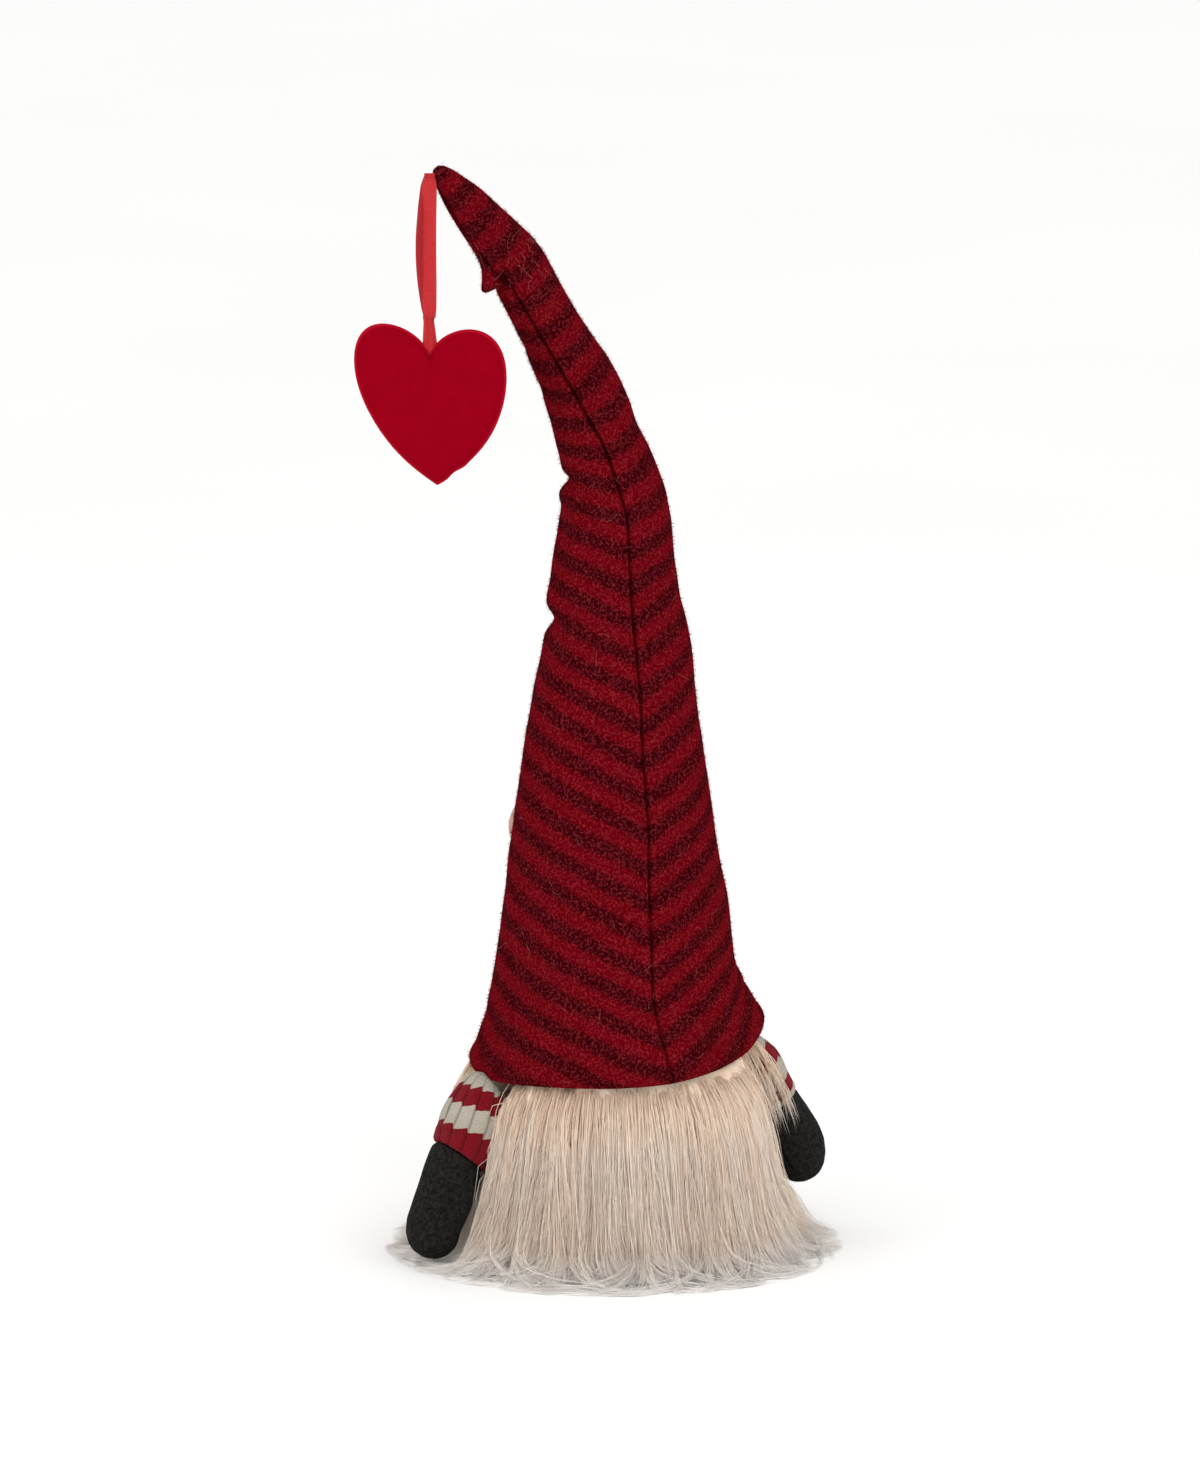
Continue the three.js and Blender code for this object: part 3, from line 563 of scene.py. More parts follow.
def hat_grid(rows, columns, thickness=0.0):
    """Points and marks of the hat for rows of lengths s. Columns start and end at the front."""
    s_row = np.asarray(rows, float)[:, None]
    seam = np.interp(s_row, SEAM_TURN[:, 0], SEAM_TURN[:, 1])
    _, level, _ = middle_line(s_row)
    rise = np.clip(level - ARCH_Z, 0, ARCH_R)
    half = np.where(
        level > ARCH_Z,
        np.sqrt(ARCH_R**2 - rise**2),
        ARCH_R + (ARCH_FOOT_X - ARCH_R) * (ARCH_Z - level) / (ARCH_Z - ARCH_FOOT_Z),
    )
    base = np.interp(s_row, HAT_RADIUS[:, 0], HAT_RADIUS[:, 1])
    gap = np.where(level < ARCH_Z + ARCH_R, np.degrees(np.arcsin(np.clip(half / base, 0, 1))), 0)
    share = np.linspace(-1, 1, columns)[None]
    crowd = np.sign(share) * np.abs(share) ** 1.25
    low, high = -90 - seam + gap, 270 - seam - gap
    away = np.where(crowd < 0, -crowd * low, crowd * high)
    turn = seam + away
    edge = np.interp(turn, BRIM_EDGE[:, 0], BRIM_EDGE[:, 1])
    s = s_row + (edge - BRIM_Z) * (1 - ease(s_row, BRIM_Z, 150))
    r = hat_radius(s_row, turn)
    across = np.radians(away) * r
    r = r + seam_relief(across) * ease(HAT_END - s, 2, 22) * (0.45 + 0.55 * ease(s, 84, 150))
    r = np.maximum(r - thickness, 0.02)
    x, z, lean = middle_line(s)
    angle = np.radians(turn)
    sideways = r * np.cos(angle)
    points = np.stack(
        [x + sideways * np.cos(lean), r * np.sin(angle), z - sideways * np.sin(lean)], -1
    )
    flat = (np.pi - np.abs(np.radians(away))) / np.pi * SECTOR_HALF
    slant = (APEX_S - s_row) * 1.011
    seam_cos = math.cos(SECTOR_HALF)
    dip = 1 - 0.62 * ease(s_row, 235, 400)  # the stripes slope less where the hat bends
    marks = {
        "stripe": slant * (seam_cos + dip * (np.cos(flat) - seam_cos)) / STRIPE_PITCH + STRIPE_SHIFT,
        "seam": across + 0 * s,
    }
    return points, marks, gap[:, 0] > 0


SEAM_SHADE = 0.45  # how much of the felt's brightness the painted shade in the seam's groove leaves


def felt_material(name, dark, bright):
    s = Shader(name, Roughness=0.95, Specular_IOR_Level=0.0, Sheen_Weight=0.02)
    s.surface.inputs["Sheen Tint"].default_value = srgb(214, 60, 62)
    ragged = s.noise(430.0, 5.0, 0.78)
    wander = s.noise(60.0, 2.0, 0.5)
    shift = s.times(s.math("SUBTRACT", ragged, 0.5), 0.62)
    shift = s.plus(shift, s.times(s.math("SUBTRACT", wander, 0.5), 0.20))
    phase = s.math("FRACT", s.plus(s.attribute("stripe"), shift))
    ramp = s.math("ABSOLUTE", s.math("SUBTRACT", phase, 0.5))
    share = s.smooth_step(ramp, 0.14, 0.36)
    matted = s.smooth_step(s.noise(900.0, 4.0, 0.7), 0.42, 0.66)
    share = s.math("MULTIPLY_ADD", share, 0.86, s.times(matted, 0.14))
    base = s.mix(share, dark, bright)
    fibre = s.noise(1000.0, 4.0, 0.78)
    flecks = s.smooth_step(s.noise(950.0, 5.0, 0.8), 0.47, 0.62)
    cloud = s.noise(34.0, 3.0, 0.55)
    base = s.shade(base, fibre, 0.30, 1.60)
    base = s.shade(base, cloud, 0.86, 1.14)
    base = s.mix(s.times(flecks, 0.36), base, srgb(176, 56, 62))
    # painted shade: the felt is darkened along the seam's groove
    groove = s.smooth_step(s.math("ABSOLUTE", s.attribute("seam")), 0.1, 1.3)
    base = s.shade(base, groove, SEAM_SHADE, 1.0)
    s.colour(base)
    height = s.plus(s.times(fibre, 0.8), s.noise(620.0, 3.0, 0.6))
    s.bump(height, 0.0009, 0.75)
    return s.material


HAT_FELT = felt_material("hat_felt", srgb(44, 0, 5), srgb(100, 0, 12))
# painted highlight: the nap fibres get a lighter copy of the felt's colours
HAT_NAP_HIGHLIGHT = felt_material("hat_nap_highlight", srgb(80, 4, 14), srgb(152, 14, 28))


def hat_shell():
    """The hat up to the split: outside and inside with the brim's and the arch's edges."""
    rows = np.concatenate(
        [
            np.linspace(84, 92, 7)[:-1],
            np.linspace(92, 176, 42)[:-1],
            ARCH_Z + ARCH_R * np.sin(np.linspace(0, np.pi / 2, 9))[:-1],
            np.linspace(ARCH_Z + ARCH_R, HAT_SPLIT, 106),
        ]
    )
    columns = 181
    outer, marks, open_rows = hat_grid(rows, columns)
    inner, _, _ = hat_grid(rows, columns, FELT_T)
    count = len(rows)
    index = np.arange(count * columns).reshape(count, columns)
    welded = index.copy()
    welded[~open_rows, -1] = index[~open_rows, 0]
    inside = welded + count * columns
    outside_quads = quads_between(welded)
    inside_quads = quads_between(inside)[:, ::-1]
    open_count = int(open_rows.sum())
    sides = [
        strip(welded[0], inside[0], True),
        strip(welded[-1], inside[-1]),
        strip(welded[: open_count + 1, 0], inside[: open_count + 1, 0]),
        strip(welded[: open_count + 1, -1], inside[: open_count + 1, -1], True),
    ]
    points = np.concatenate([outer.reshape(-1, 3), inner.reshape(-1, 3)])
    attributes = {k: np.tile(v.ravel(), 2) for k, v in marks.items()}
    quads = np.concatenate([outside_quads, inside_quads, *sides])
    shell = make_mesh("hat_lower", points, quads, HAT_FELT, attributes)
    drop_loose(shell)
    surface = (points, outside_quads, attributes)
    return shell, surface


def quads_between(index):
    return np.stack([index[:-1, :-1], index[:-1, 1:], index[1:, 1:], index[1:, :-1]], -1).reshape(
        -1, 4
    )


def strip(a, b, flip=False):
    """Quads between two equally long lines of points."""
    quads = np.stack([a[:-1], b[:-1], b[1:], a[1:]], 1)
    quads = quads[:, ::-1] if flip else quads
    return quads[[len(set(q)) == 4 for q in quads.tolist()]]


def drop_loose(piece):
    """Removes points that no face uses."""
    mesh = piece.data
    used = np.zeros(len(mesh.vertices), bool)
    corner = np.zeros(len(mesh.loops), np.int32)
    mesh.loops.foreach_get("vertex_index", corner)
    used[corner] = True
    if used.all():
        return
    work = bmesh.new()
    work.from_mesh(mesh)
    work.verts.ensure_lookup_table()
    bmesh.ops.delete(work, geom=[work.verts[int(i)] for i in np.nonzero(~used)[0]], context="VERTS")
    work.to_mesh(mesh)
    work.free()


def closed_hat_part(name, rows, columns, inset, material):
    """A part of the hat's shape, closed across both ends."""
    outer, marks, _ = hat_grid(rows, columns, inset)
    index = np.arange(len(rows) * columns).reshape(len(rows), columns)
    index[:, -1] = index[:, 0]
    quads = quads_between(index)
    points = outer.reshape(-1, 3)
    attributes = {k: v.ravel() for k, v in marks.items()} if material is HAT_FELT else {}
    ends = [index[0, :-1][None, ::-1], index[-1, :-1][None]]
    piece = make_mesh(name, points, [quads, *ends], material, attributes)
    drop_loose(piece)
    return piece, (points, quads, attributes)


def hat_end_piece():
    """The hat past the split."""
    rows = np.concatenate([np.linspace(HAT_SPLIT, 510, 96)[:-1], np.linspace(510, HAT_END, 16)])
    return closed_hat_part("hat_upper", rows, 121, 0.0, HAT_FELT)


def across_low_bend(piece):
    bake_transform(piece)


def across_fold(piece):
    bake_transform(piece)


hat_lower, lower_surface = hat_shell()
hat_upper, upper_surface = hat_end_piece()
across_low_bend(hat_lower)
across_fold(hat_upper)
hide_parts("hat_cone")
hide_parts("hat_middle", "hat_tip")

across_low_bend(
    fuzz("hat_lower_nap", lower_surface, 18500, 1.4, 0.15, HAT_NAP_HIGHLIGHT, 31)
)
across_fold(
    fuzz("hat_upper_nap", upper_surface, 7000, 1.3, 0.14, HAT_NAP_HIGHLIGHT, 32)
)

# ---------- filling inside the hat ----------


def filling_material():
    s = Shader("fibre_filling", Roughness=1.0, Sheen_Weight=0.2)
    tuft = s.noise(260.0, 4.0, 0.7)
    s.colour(s.mix(tuft, srgb(206, 204, 199), srgb(244, 243, 240)))
    s.bump(tuft, 0.002, 0.8)
    return s.material


FILLING = filling_material()


def filling(name, low, high, inset):
    rows = np.linspace(low, high, int((high - low) / 3.5))
    piece, _ = closed_hat_part(name, rows, 61, inset, FILLING)
    return piece


lower_filling = filling("hat_filling_lower", 196, HAT_SPLIT - 1, FELT_T + 2.6)
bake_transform(lower_filling)
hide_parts("hat_stuffing_lower")
upper_filling = filling("hat_filling_upper", HAT_SPLIT, 506, FELT_T + 3.8)
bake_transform(upper_filling)
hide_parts("hat_stuffing_middle", "hat_stuffing_tip")

# ---------- arms ----------

ARM_R = 13.8
ARM_LENGTH = 74
RIBS = 12
ARMS = {
    "left": {
        "x": 68.5, "z": 74, "tilt": 22, "side": 1,
        "cuff_rise": 5.2, "cuff_slant": 3.2, "puff": 2.6, "shrug": 3.5,
    },
    "right": {
        "x": -63, "z": 86, "tilt": -30, "side": -1,
        "cuff_rise": 0, "cuff_slant": 0, "puff": 0, "shrug": 0,
    },
}
SHOULDERS = {
    "left": [(-9.2, 0.5), (-8.8, 4.4), (-7.6, 7.2), (-4.5, 9.8), (-1, 11.6), (3, 12.9), (8, 13.6)],
    "right": [(-9.2, 0.5), (-8.6, 3.6), (-6.6, 6.6), (-3, 8.8), (1, 10.4), (5, 12.3), (10, 13.6)],
}
CREAM, KNIT_RED = srgb(208, 198, 182), srgb(142, 8, 26)
BANDS = {
    "left": [-5.0, 3.5, 13.8, 40],
    "right": [3.0, 12.5, 21.5, 27.5],
}


def cuff_shift(arm, turn):
    """How much higher the hand-sewn cuff sits than the arm's own cuff line, round the arm."""
    return arm["cuff_rise"] + arm["cuff_slant"] * np.cos(turn) * arm["side"]


def knit_material():
    s = Shader("knit_wool", Roughness=0.95, Specular_IOR_Level=0.08, Sheen_Weight=0.05)
    wale, course = s.attribute("wale"), s.attribute("course")
    lean = s.math("ABSOLUTE", s.math("SUBTRACT", s.math("FRACT", wale), 0.5))
    row = s.plus(course, s.times(lean, 1.1))
    loops = s.math("SINE", s.times(row, 2 * math.pi))
    leg = s.math("SINE", s.times(lean, 2 * math.pi))
    stitch = s.times(s.math("MULTIPLY_ADD", loops, 0.5, 0.5), leg)
    wool = s.noise(1900.0, 3.0, 0.7)
    edge = s.plus(s.attribute("band"), s.spread(s.noise(700.0, 2.0), 0, 1, -0.35, 0.35))
    share = s.smooth_step(edge, -0.12, 0.12)
    base = s.mix(share, KNIT_RED, CREAM)
    base = s.shade(base, stitch, 0.70, 1.14)
    base = s.shade(base, wool, 0.80, 1.18)
    # painted shade: the knit is darker in the grooves between the ribs
    base = s.shade(base, s.attribute("groove"), 0.62, 1.04)
    s.colour(base)
    s.bump(s.plus(stitch, s.times(wool, 0.4)), 0.0009, 0.8)
    return s.material


KNIT = knit_material()


def placed_arm(points, arm):
    """Leans points made about the arm's own axis outward, and moves them to the shoulder."""
    tilt = -math.radians(arm["tilt"])
    x, y, z = points[..., 0], points[..., 1], points[..., 2]
    leaned_x = x * math.cos(tilt) + z * math.sin(tilt)
    leaned_z = -x * math.sin(tilt) + z * math.cos(tilt)
    return np.stack([leaned_x + arm["x"], y, leaned_z + arm["z"]], -1)


def band_of(along, borders):
    """Distance in millimetres into cream (positive) or red (negative)."""
    nearest = np.argmin(np.abs(along[..., None] - np.array(borders)), -1)
    away = along - np.array(borders)[nearest]
    return np.where(nearest % 2 == 0, -away, away)


def sleeve(side):
    arm = ARMS[side]
    profile = np.array(
        SHOULDERS[side]
        + [(16, 13.9), (24, 13.9), (28, 13.6), (30.2, 13.4), (31.3, 12.6), (31.5, 10.5)]
    )
    along = np.concatenate([np.linspace(-9.2, 2, 14)[:-1], np.linspace(2, 30.2, 44)[:-1],
                            [30.2, 30.8, 31.2, 31.5]])[:, None]
    columns = RIBS * 12
    turn = around(columns)
    rib = turn / (2 * np.pi) * RIBS
    inside = np.abs(rib % 1 - 0.5) * 2
    # the ribs' grooves: sunk into the shape below, and given painted shade by the knit's material
    groove = 1 - np.clip((inside - 0.72) / 0.28, 0, 1) ** 1.5
    r = np.interp(along, profile[:, 0], profile[:, 1])
    fade = ease(along, -7, 3)
    r = r - 0.75 * (1 - groove) * fade + 0.22 * np.sin(turn * 3 + along * 0.35)
    r = r + 0.25 * waves(along, turn * 10, 61 + arm["side"], size=3.0)
    inward = 0.5 - 0.5 * np.cos(turn) * arm["side"]
    r = r + arm["puff"] * inward * ease(along, -9, -2) * (1 - 0.6 * ease(along, 22, 31.5))
    sewn = along - cuff_shift(arm, turn) * ease(along, 8, 31)
    sewn = sewn - arm["shrug"] * (1 - inward) * (1 - ease(along, -9, 8))
    ring = np.stack([r * np.cos(turn), r * np.sin(turn), -sewn], -1)
    step = (rib % 1 - 0.5) * 2.6
    border = sewn + step + 0.5 * waves(turn * 12, along * 0.3, 71, size=1.6)
    marks = {
        "wale": turn / (2 * np.pi) * RIBS * 5 + 0 * along,
        "course": along / 1.35 + 0 * turn,
        "groove": groove + 0 * along,
        "band": band_of(border, BANDS[side]),
    }
    piece, surface = closed_tube(f"{side}_sleeve_knit", placed_arm(ring, arm), KNIT, marks)
    belongs(piece, f"{side}_arm", "knit", f"{side}_sleeve")
    fluff = fuzz(f"{side}_sleeve_fluff", surface, 2600, 1.5, 0.13, KNIT, 81 + arm["side"])
    belongs(fluff, f"{side}_arm", "knit")


def mitten_material():
    s = Shader("mitten_felt", Roughness=0.95, Specular_IOR_Level=0.03, Sheen_Weight=0.02)
    heather = s.noise(560.0, 5.0, 0.78)
    fibre = s.noise(1900.0, 3.0, 0.7)
    base = s.mix(s.smooth_step(heather, 0.30, 0.72), srgb(6, 6, 6), srgb(50, 48, 46))
    base = s.shade(base, fibre, 0.55, 1.45)
    pale = s.smooth_step(s.noise(2300.0, 2.0, 0.6), 0.64, 0.82)
    base = s.mix(s.times(pale, 0.30), base, srgb(118, 114, 110))
    # painted shade: the felt is darker along the step at the thumb layer's edge
    groove = s.smooth_step(s.attribute("edge"), 0.0, 1.4)
    s.colour(s.shade(base, groove, 0.5, 1.0))
    s.bump(s.plus(heather, fibre), 0.0012, 0.8)
    return s.material


MITTEN = mitten_material()


def mitten(side):
    """A stuffed felt mitten, cut from two layers, with its thumb lying along one edge."""
    arm = ARMS[side]
    profile = np.array(
        [(31.8, 10.2), (32.2, 12.0), (34, 12.9), (42, 13.5), (52, 13.6), (60, 13.1), (66, 11.5),
         (70, 9.0), (72.4, 6.3), (73.6, 3.2), (74, 0.6)]
    )
    along = np.concatenate([[31.8, 32.0, 32.3, 33.0], np.linspace(34, 70, 40),
                            74 - 4 * np.cos(np.linspace(0.1, np.pi / 2, 9))])[:, None]
    columns = 120
    turn = around(columns)
    r = np.interp(along, profile[:, 0], profile[:, 1])
    # the thumb's layer lies on the body side, a little proud, with a step down its edge
    inward = np.degrees(turn) - (180 if arm["side"] > 0 else 0)
    inward = (inward + 180) % 360 - 180
    inward = inward * arm["side"]
    step_at = -52 + 10 * np.sin((along - 32) / 20)
    away = (inward - step_at) * r * np.pi / 180
    panel = 1 / (1 + np.exp(np.clip(-away / 0.35, -40, 40))) * (inward < 70)
    panel = panel * (1 - ease(along, 58, 64))
    r = r - 1.1 * panel - 0.9 * bell(away, 0.2, 0.8) * (1 - ease(along, 60, 66))
    r = r * (1 + 0.02 * np.cos(2 * turn))
    r = r + 0.35 * waves(along, turn * 12, 91 + arm["side"], size=4.5) * ease(along, 32, 36)
    sewn = along - cuff_shift(arm, turn) * (1 - ease(along, 33, 62))
    ring = np.stack([r * np.cos(turn), 0.94 * r * np.sin(turn), -sewn], -1)
    # distance from the thumb layer's edge, where the material paints shade
    marks = {"edge": np.minimum(np.abs(away) + 3 * ease(along, 60, 66), 3)}
    piece, surface = closed_tube(f"{side}_mitten_felt", placed_arm(ring, arm), MITTEN, marks)
    belongs(piece, f"{side}_arm", "mitten_felt", f"{side}_mitten")
    nap = fuzz(f"{side}_mitten_nap", surface, 5000, 1.5, 0.14, MITTEN, 95 + arm["side"])
    belongs(nap, f"{side}_arm", "mitten_felt")


for side in ARMS:
    sleeve(side)
    mitten(side)

# ---------- heart ----------

HEART_W = 67
HEART_NOTCH_Z = 411.5
HEART_TIP_Z = 354
HEART_LOBE_RISE = 15.2
HEART_WIDEST = -5.5
HEART_SLANT = (0.055, 0.07)  # the hand-cut heart's lean across and up
HEART_HALF_T = 4.3


def bezier(a, b, c, d, count):
    t = np.linspace(0, 1, count, endpoint=False)[:, None]
    return (1 - t) ** 3 * a + 3 * (1 - t) ** 2 * t * b + 3 * (1 - t) * t**2 * c + t**3 * d


def heart_outline(count):
    half, rise, tip = HEART_W / 2, HEART_LOBE_RISE, HEART_TIP_Z - HEART_NOTCH_Z
    wide = HEART_WIDEST
    lobe = [(0, 0), (half * 0.09, rise * 0.95), (half, rise * 1.58), (half, wide)]
    flank = [(half, wide), (half, tip * 0.46), (half * 0.58, tip * 0.78), (0, tip)]
    spots = [lobe, flank]
    spots += [[(-x, z) for x, z in reversed(part)] for part in (flank, lobe)]
    line = np.concatenate([bezier(*np.array(s, float), 60) for s in spots])
    run = np.concatenate([[0], np.cumsum(np.linalg.norm(np.diff(line, axis=0), axis=1))])
    even = np.linspace(0, run[-1], count, endpoint=False)
    x, z = (np.interp(even, run, line[:, i]) for i in (0, 1))
    return np.stack([x + HEART_SLANT[0] * z, z + HEART_SLANT[1] * x], 1)


def heart_material():
    s = Shader("heart_felt", Roughness=0.95, Specular_IOR_Level=0.02, Sheen_Weight=0.06)
    s.surface.inputs["Sheen Tint"].default_value = srgb(255, 30, 50)
    pile = s.noise(2200.0, 3.0, 0.7)
    brushed = s.noise(120.0, 3.0, 0.6)
    base = s.mix(brushed, srgb(130, 0, 19), srgb(146, 0, 24))
    base = s.shade(base, pile, 0.84, 1.16)
    rim = s.smooth_step(s.attribute("rim"), 0.5, 1.5)
    base = s.mix(rim, srgb(168, 14, 34), base)
    s.colour(base)
    s.bump(s.plus(pile, s.times(brushed, 2.0)), 0.0005, 0.5)
    return s.material


HEART_FELT = heart_material()


def rounded(ring, spread):
    """A closed line whose corners are smoothed over a number of its points."""
    count = len(ring)
    waves_in = np.fft.fft(ring[:, 0] + 1j * ring[:, 1])
    turns = np.fft.fftfreq(count) * 2 * math.pi
    line = np.fft.ifft(waves_in * np.exp(-0.5 * (turns * spread) ** 2))
    return np.stack([line.real, line.imag], 1)


def padded_heart():
    """Two felt hearts sewn together round a thin wadding: crowned faces and a seam at the rim."""
    count = 240
    outline = heart_outline(count)
    tangent = np.roll(outline, -1, 0) - np.roll(outline, 1, 0)
    outward = unit(np.stack([tangent[:, 1], -tangent[:, 0]], 1))
    from_middle = outline - outline.mean(0)
    if ((from_middle + outward) ** 2).sum() < (from_middle**2).sum():
        outward = -outward
    index = np.arange(count)
    near_tip = bell(index / count, 0.545, 0.03)
    wobble = 0.55 * np.sin(index * 0.42) * near_tip + 0.18 * np.sin(index * 0.13 + 1)
    outline = outline + outward * wobble[:, None]
    centre = np.array([0.0, -20.0])
    depths = np.concatenate([[0, 0.35, 0.8, 1.4, 2.2, 3.2, 4.6, 6.5, 9], np.linspace(12, 30, 8)])
    rows, rims = [], []
    size = np.linalg.norm(outline - centre, axis=1)
    for face in (1, -1):
        for depth in depths if face > 0 else depths[::-1]:
            share = np.clip(depth / size, 0, 0.97)[:, None]
            flat = rounded(outline * (1 - share) + centre * share, 0.8 * depth)
            puff = HEART_HALF_T * (0.20 + 0.62 * ease(depth, -1.2, 5.0) + 0.18 * ease(depth, 4, 24))
            if depth == 0:
                puff = 0.55
            seam = 0.25 * bell(depth, 1.5, 0.7)
            ripple = 0.16 * waves(flat[:, 0], flat[:, 1], 41 + face, size=5.0)
            y = face * (puff - seam + ripple * (depth > 1))
            rows.append(np.stack([flat[:, 0], y + 0 * flat[:, 0], flat[:, 1] + HEART_NOTCH_Z], 1))
            rims.append(np.full(count, depth))
        if face > 0:
            front = len(rows)
    order = list(range(front - 1, -1, -1)) + list(range(len(rows) - 1, front - 1, -1))
    rings = np.stack([rows[i] for i in order])
    marks = {"rim": np.stack([rims[i] for i in order])}
    piece, surface = closed_tube("heart_padded", to_hanging_line(rings), HEART_FELT, marks)
    belongs(piece, "heart", "heart_felt", "heart_front", "heart_back", "heart_stuffing")
    nap = fuzz("heart_nap", surface, 7000, 0.8, 0.09, HEART_FELT, 43)
    belongs(nap, "heart", "heart_felt")
    return surface


heart_surface = padded_heart()


def ribbon_gather():
    """The two strands' ends pinched together and fanned out against the heart."""
    share = np.linspace(0, 1, 15)
    top, low = RIBBON_END_Z + 0.9, HEART_NOTCH_Z + 0.4
    local = np.stack([0.5 - 0.8 * share, 0.2 + 0 * share, top + (low - top) * share], 1)
    facing = np.tile([1.0, 0.12, 0.0], (15, 1))
    facing = turned_to_heart(facing)
    width = RIBBON_W * np.interp(share, [0, 0.14, 0.3, 1], [0.80, 0.72, 0.80, 1.12])
    band = ribbon_band("ribbon_pinch", to_hanging_line(local), facing, width, 0.3, 0.45)
    belongs(band, "heart", "ribbon", "ribbon_gather")


ribbon_gather()


def ribbon_bight():
    """The loop's top, folded over where it is sewn to the hat's tip."""
    turn = np.linspace(0, math.pi, 17)
    local = np.stack([0 * turn, 0.7 * np.cos(turn), HANG_TOP_Z + 1.3 * np.sin(turn)], 1)
    facing = np.tile([1.0, 0.0, 0.0], (17, 1))
    facing = turned_to_heart(facing)
    line = to_hanging_line(local)
    band = ribbon_band("ribbon_bight", line, facing, 0.72 * RIBBON_W, 0.1, shaded=0.3)
    belongs(band, "ribbon", "ribbon")


ribbon_bight()

# ---------- nose ----------


def nose_place():
    """The CAD nose's centre and radius."""
    low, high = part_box("nose")
    return np.array((low + high) / 2) / MM, float(high.x - low.x) / 2 / MM


def nose():
    centre, radius = nose_place()
    rows, columns = 56, 96
    polar = np.linspace(0.02, np.pi - 0.02, rows)[:, None]
    turn = around(columns)
    x = np.sin(polar) * np.cos(turn)
    y = np.sin(polar) * np.sin(turn)
    z = np.cos(polar) + 0 * turn
    r = radius * (1 + 0.012 * waves(x * 3 + z, y * 3, 51, size=0.9))
    r = r * (1 - 0.10 * bell(y, 1.0, 0.22))  # gathered where it is sewn on
    ring = np.stack([r * x, r * y * 0.97, r * z * 0.98], -1) + centre
    s = Shader("nose_fabric", Roughness=0.9, Specular_IOR_Level=0.15, Sheen_Weight=0.06)
    s.surface.inputs["Subsurface Weight"].default_value = 0.1
    s.surface.inputs["Subsurface Radius"].default_value = (0.004, 0.002, 0.001)
    cloth = s.noise(2400.0, 3.0, 0.7)
    blush = s.noise(60.0, 2.0)
    base = s.mix(blush, srgb(182, 146, 134), srgb(200, 160, 146))
    s.colour(s.shade(base, cloth, 0.88, 1.1))
    s.bump(cloth, 0.0004, 0.6)
    piece, surface = closed_tube("nose_ball", ring[::-1], s.material, {"mark": 0 * polar})
    belongs(piece, "gnome", "nose_skin", "nose")
    nap = fuzz("nose_nap", surface, 2500, 0.7, 0.09, s.material, 52, (0, 0, -0.2))
    belongs(nap, "gnome", "nose_skin")


nose()

# ---------- fur ----------

FUR_LINE = np.array(
    [(57, 93), (62.5, 85), (69, 72), (73, 56), (76, 40), (79, 26), (83, 14), (88, 7), (94, 3.4),
     (103, 1.9), (112, 1.4)], float
)
BEARD_LINE = np.array(
    [(52, 192), (58, 184), (66, 152), (73, 104), (78, 58), (82, 28), (85, 14), (90, 7), (95, 3.6),
     (103, 1.9), (116, 1.4)], float
)
FLOOR_R = 84  # past this radius the fur lies on the floor
FUR_REACH = 107
SPLAY_R = 90  # past this radius the tips bunch up
TUCK_TURN = 162  # the right arm presses the fur in here
SKIRT_STRAND_W, BEARD_STRAND_W = 0.30, 0.46
CORE_TIP = 0.45  # how far along a strand the underfur's colour is taken
ARM_CLEARANCE = 0.8  # between the arms and the fur beside them
ARCH_EDGE = 1.5  # how far the beard stays in from the edge of the hat's opening
ARCH_TOP_Z = ARCH_Z + ARCH_R - 3  # above this the beard's width no longer changes
CREAM_WARM, CREAM_COOL = srgb(238, 215, 195), srgb(237, 226, 214)


def fur_material():
    s = Shader("cream_fur", Roughness=0.8, Specular_IOR_Level=0.2, Sheen_Weight=0.04)
    streak = s.noise(1.0, 3.0, 0.6, s.stretched(s.place(), (230.0, 230.0, 14.0)))
    tone = s.math("MULTIPLY_ADD", s.attribute("tint"), 0.55, s.times(streak, 0.5))
    base = s.mix(s.smooth_step(tone, 0.05, 0.95), CREAM_WARM, CREAM_COOL)
    height = s.node("SeparateXYZ", {0: s.place()}).outputs[2]
    # painted highlight: the fur turns whiter in its lowest 16 mm, for the floor's light shining
    # through it
    base = s.mix(s.spread(height, 0.0, 0.016, 0.9, 0.0), base, srgb(250, 248, 245))
    glow = s.times(s.spread(height, 0.055, 0.088), s.spread(height, 0.12, 0.09))
    base = s.mix(s.times(glow, 0.55), base, srgb(250, 214, 180))
    # painted shade: slightly darker toward the roots, lighter toward the tips
    s.colour(s.shade(base, s.attribute("tip"), 0.97, 1.03))
    s.bump(streak, 0.001, 0.1)
    return s.material


FUR = fur_material()


def on_profile(profile, run):
    """Radius, height and outward direction at lengths along a profile of (radius, height)."""
    steps = np.linalg.norm(np.diff(profile, axis=0), axis=1)
    lengths = np.concatenate([[0], np.cumsum(steps)])

    def place(at):
        return np.stack([np.interp(at, lengths, profile[:, i]) for i in (0, 1)], -1)

    spot = place(run)
    along = unit(place(run + 2) - place(run - 2))
    outward = np.stack([-along[..., 1], along[..., 0]], -1)
    return spot, outward


def arm_frame(points, arm):
    """Length along an arm, distance outward from its axis, and y."""
    tilt = math.radians(abs(arm["tilt"]))
    x = (points[..., 0] - arm["x"]) * arm["side"]
    z = points[..., 2] - arm["z"]
    along = x * math.sin(tilt) - z * math.cos(tilt)
    outward = x * math.cos(tilt) + z * math.sin(tilt)
    return along, outward, points[..., 1]


